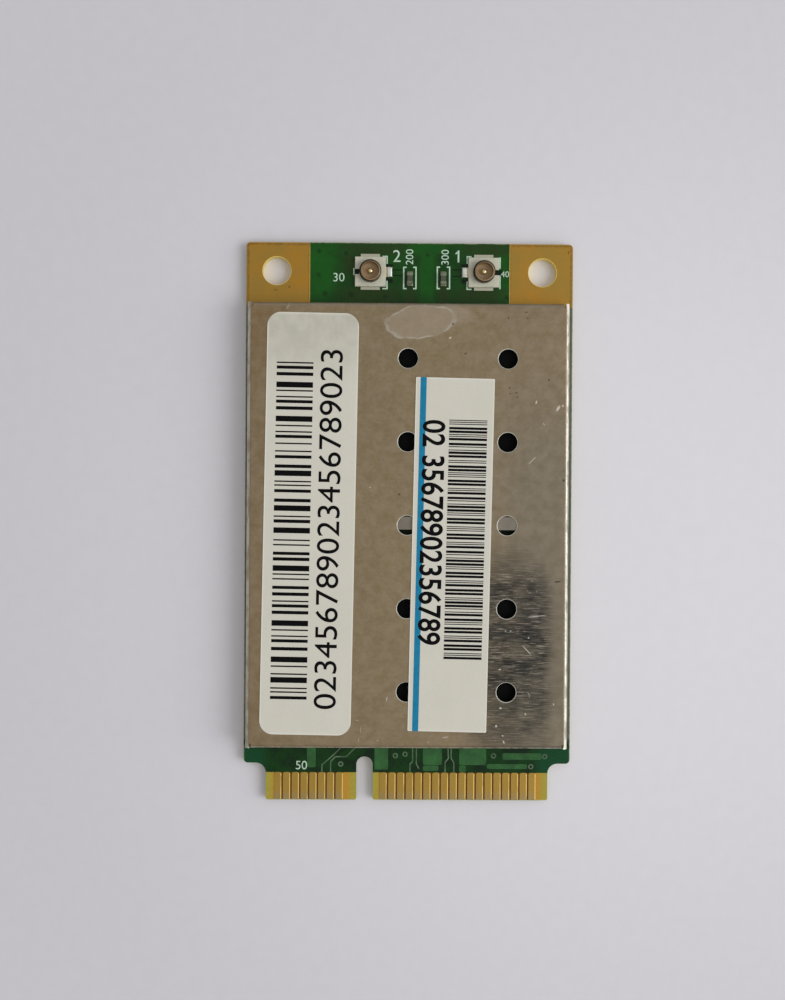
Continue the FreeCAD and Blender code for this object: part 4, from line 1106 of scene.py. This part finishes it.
class MINICARD_OT_copper(bpy.types.Operator):
    """Add the copper that shows through the lacquer"""

    bl_idname = "minicard.copper"
    bl_label = "Lacquered copper"
    bl_options = {"REGISTER", "UNDO"}

    def execute(self, context):
        look, sizes = context.scene.card_colours, context.scene.card_sizes
        rise = sizes.copper_rise
        field_coat = cloudy_finish(look, "lacquered field")
        line_coat = cloudy_finish(look, "lacquered line")
        fields = bmesh.new()
        for low, high in COPPER_FIELDS:
            plate(fields, low, high, BOARD_TOP, rise, sizes.copper_corner)
        add_piece("copper_fields", fields, field_coat)
        add_lines("copper_lines", COPPER_LINES, sizes.copper_line, rise, line_coat)
        rings = bmesh.new()
        for place in VIA_PLACES:
            via_ring(rings, mm(*place), sizes.via_hole, sizes.via_radius, BOARD_TOP, rise)
        add_piece("via_rings", rings, line_coat)
        return {"FINISHED"}


class MINICARD_OT_silk(bpy.types.Operator):
    """Add the white print on the board"""

    bl_idname = "minicard.silk"
    bl_label = "Board print"
    bl_options = {"REGISTER", "UNDO"}

    def execute(self, context):
        look, sizes = context.scene.card_colours, context.scene.card_sizes
        white = cloudy_finish(look, "board print")
        add_lines("board_outlines", SILK_LINES, sizes.silk_line, sizes.silk_rise, white)
        numbers = bmesh.new()
        for text, middle, degrees, size in BOARD_NUMBERS:
            place = (*mm(*middle), BOARD_TOP)
            add_digits(numbers, text, place, degrees, getattr(sizes, size), sizes.silk_rise)
        add_piece("board_numbers", numbers, white)
        return {"FINISHED"}


class MINICARD_OT_shield(bpy.types.Operator):
    """Finish the shield cover and its frame"""

    bl_idname = "minicard.shield"
    bl_label = "Shield"
    bl_options = {"REGISTER", "UNDO"}

    def execute(self, context):
        look = context.scene.card_colours
        dress(lid_finish(look), "shield_cover")
        dress(cloudy_finish(look, "frame sheet"), "shield_frame")
        return {"FINISHED"}


class MINICARD_OT_rounded_label(bpy.types.Operator):
    """Add the label with rounded corners and its plain print"""

    bl_idname = "minicard.rounded_label"
    bl_label = "Rounded label"
    bl_options = {"REGISTER", "UNDO"}

    def execute(self, context):
        look, sizes = context.scene.card_colours, context.scene.card_sizes
        add_label(look, sizes, "rounded_label", 0.75)
        add_label_print(look, sizes, "rounded_label", ROUNDED_LABEL_BARS, ROUNDED_LABEL_DIGITS)
        return {"FINISHED"}


class MINICARD_OT_stripe_label(bpy.types.Operator):
    """Add the label with the stripe and its plain print"""

    bl_idname = "minicard.stripe_label"
    bl_label = "Stripe label"
    bl_options = {"REGISTER", "UNDO"}

    def execute(self, context):
        look, sizes = context.scene.card_colours, context.scene.card_sizes
        add_label(look, sizes, "stripe_label", 0.0)
        stripe = bmesh.new()
        plate(stripe, *STRIPE, sizes.label_sheet, sizes.stripe_rise)
        blue = cloudy_finish(look, "stripe ink")
        add_piece("stripe_label_stripe", on_label(stripe, "stripe_label"), blue)
        add_label_print(look, sizes, "stripe_label", STRIPE_LABEL_BARS, STRIPE_LABEL_DIGITS)
        return {"FINISHED"}


class MINICARD_OT_jacks(bpy.types.Operator):
    """Finish the antenna jacks and add the solder on their tails"""

    bl_idname = "minicard.jacks"
    bl_label = "Antenna jacks"
    bl_options = {"REGISTER", "UNDO"}

    def execute(self, context):
        look = context.scene.card_colours
        dress(jack_base_finish(look), "antenna_jack_1_base", "antenna_jack_2_base")
        dress(ring_finish(look), "antenna_jack_1_shell", "antenna_jack_2_shell")
        dress(cloudy_finish(look, "jack pin"), "antenna_jack_1_pin", "antenna_jack_2_pin")
        solder = cloudy_finish(look, "jack solder")
        for number, way in ((1, -1), (2, 1)):
            low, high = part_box(f"antenna_jack_{number}_base")
            edge = high.x if way > 0 else low.x
            lump = bmesh.new()
            solder_lump(lump, edge + way * TAIL_REACH * MM, (low.y + high.y) / 2, **TAIL_SOLDER)
            add_piece(f"jack_{number}_solder", lump, solder)
        return {"FINISHED"}


class MINICARD_OT_chips(bpy.types.Operator):
    """Finish the chips and add the solder at the capacitors beside the jacks"""

    bl_idname = "minicard.chips"
    bl_label = "Chips"
    bl_options = {"REGISTER", "UNDO"}

    def execute(self, context):
        look = context.scene.card_colours
        capacitors = ("port_capacitor_1_body", "port_capacitor_2_body", "chip_capacitor_bodies")
        dress(cloudy_finish(look, "brown ceramic"), *capacitors)
        pale = cloudy_finish(look, "pale ceramic")
        dress(pale, "band_filter_1_body", "band_filter_2_body", "crystal_base")
        dress(cloudy_finish(look, "dark ceramic"), "chip_resistor_bodies", "power_inductor_core")
        chips = [node for node in nodes_ending("_body") if not node.startswith(("port", "band"))]
        dress(cloudy_finish(look, "moulding compound"), *chips)
        tin = cloudy_finish(look, "tin")
        dress(tin, *nodes_ending("_ends", "_pads", "_leads", "_lid"))
        for number in (1, 2):
            low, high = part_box(f"port_capacitor_{number}_body")
            fillets = bmesh.new()
            for end in (low.y, high.y):
                solder_lump(fillets, (low.x + high.x) / 2, end, **END_SOLDER)
            add_piece(f"capacitor_{number}_solder", fillets, tin)
        return {"FINISHED"}


class MINICARD_OT_stage(bpy.types.Operator):
    """Set the floor, the light and the camera"""

    bl_idname = "minicard.stage"
    bl_label = "Stage"
    bl_options = {"REGISTER", "UNDO"}

    def execute(self, context):
        scene = context.scene
        scene.view_settings.view_transform = "Standard"
        self.add_floor(scene)
        self.add_sky(scene)
        for lamp in LAMPS:
            self.add_lamp(scene, *lamp)
        camera = bpy.data.objects.new("camera", bpy.data.cameras.new("camera"))
        scene.collection.objects.link(camera)
        camera.data.lens = CAMERA_LENS
        camera.data.clip_start = CAMERA_NEAR
        camera.location = CAMERA_PLACE
        camera.rotation_mode = "ZYX"
        camera.rotation_euler = CAMERA_TURN
        scene.camera = camera
        return {"FINISHED"}

    def add_floor(self, scene):
        bm = bmesh.new()
        bmesh.ops.create_grid(bm, x_segments=1, y_segments=1, size=FLOOR_HALF_SIZE)
        bmesh.ops.translate(bm, vec=(0.0, 0.0, -FLOOR_DROP), verts=bm.verts[:])
        floor = add_object("floor", bm, floor_finish(scene.card_colours))

    def add_sky(self, scene):
        """Soft light all round, brighter overhead and to the right."""
        scene.world = bpy.data.worlds.new("studio")
        scene.world.use_nodes = True
        tree = Tree(scene.world.node_tree)
        direction = tree.add("ShaderNodeTexCoord").outputs["Generated"]
        towards = tree.measure("DOT_PRODUCT", direction, SKY_SLOPE)
        background = scene.world.node_tree.nodes["Background"].inputs
        background["Color"].default_value = SKY_COLOUR
        tree.feed(background["Strength"], tree.math("ADD", towards, SKY_LEVEL))

    def add_lamp(self, scene, name, place, sides, power):
        lamp = bpy.data.objects.new(name, bpy.data.lights.new(name, "AREA"))
        scene.collection.objects.link(lamp)
        lamp.data.shape = "RECTANGLE"
        lamp.data.size, lamp.data.size_y = sides
        lamp.data.energy = power
        lamp.location = place
        lamp.rotation_euler = (-Vector(place)).to_track_quat("-Z", "Y").to_euler()


class MINICARD_PT_panel(bpy.types.Panel):
    """Operators, sizes and colours of the card"""

    bl_idname = "MINICARD_PT_panel"
    bl_label = "Mini card"
    bl_space_type = "VIEW_3D"
    bl_region_type = "UI"
    bl_category = "Mini card"

    def draw(self, context):
        for operator in OPERATORS:
            self.layout.operator(operator.bl_idname)
        for group in (context.scene.card_sizes, context.scene.card_colours):
            box = self.layout.box()
            for name in group.__annotations__:
                box.prop(group, name)


OPERATORS = (
    MINICARD_OT_board,
    MINICARD_OT_copper,
    MINICARD_OT_silk,
    MINICARD_OT_shield,
    MINICARD_OT_rounded_label,
    MINICARD_OT_stripe_label,
    MINICARD_OT_jacks,
    MINICARD_OT_chips,
    MINICARD_OT_stage,
)
CLASSES = (CardColours, CardSizes, *OPERATORS, MINICARD_PT_panel)


def register():
    for cls in CLASSES:
        bpy.utils.register_class(cls)
    bpy.types.Scene.card_colours = PointerProperty(type=CardColours)
    bpy.types.Scene.card_sizes = PointerProperty(type=CardSizes)


def unregister():
    del bpy.types.Scene.card_sizes
    del bpy.types.Scene.card_colours
    for cls in reversed(CLASSES):
        bpy.utils.unregister_class(cls)


def main():
    register()
    for operator in OPERATORS:
        getattr(bpy.ops.minicard, operator.bl_idname.split(".")[1])()


if __name__ == "__main__":
    main()
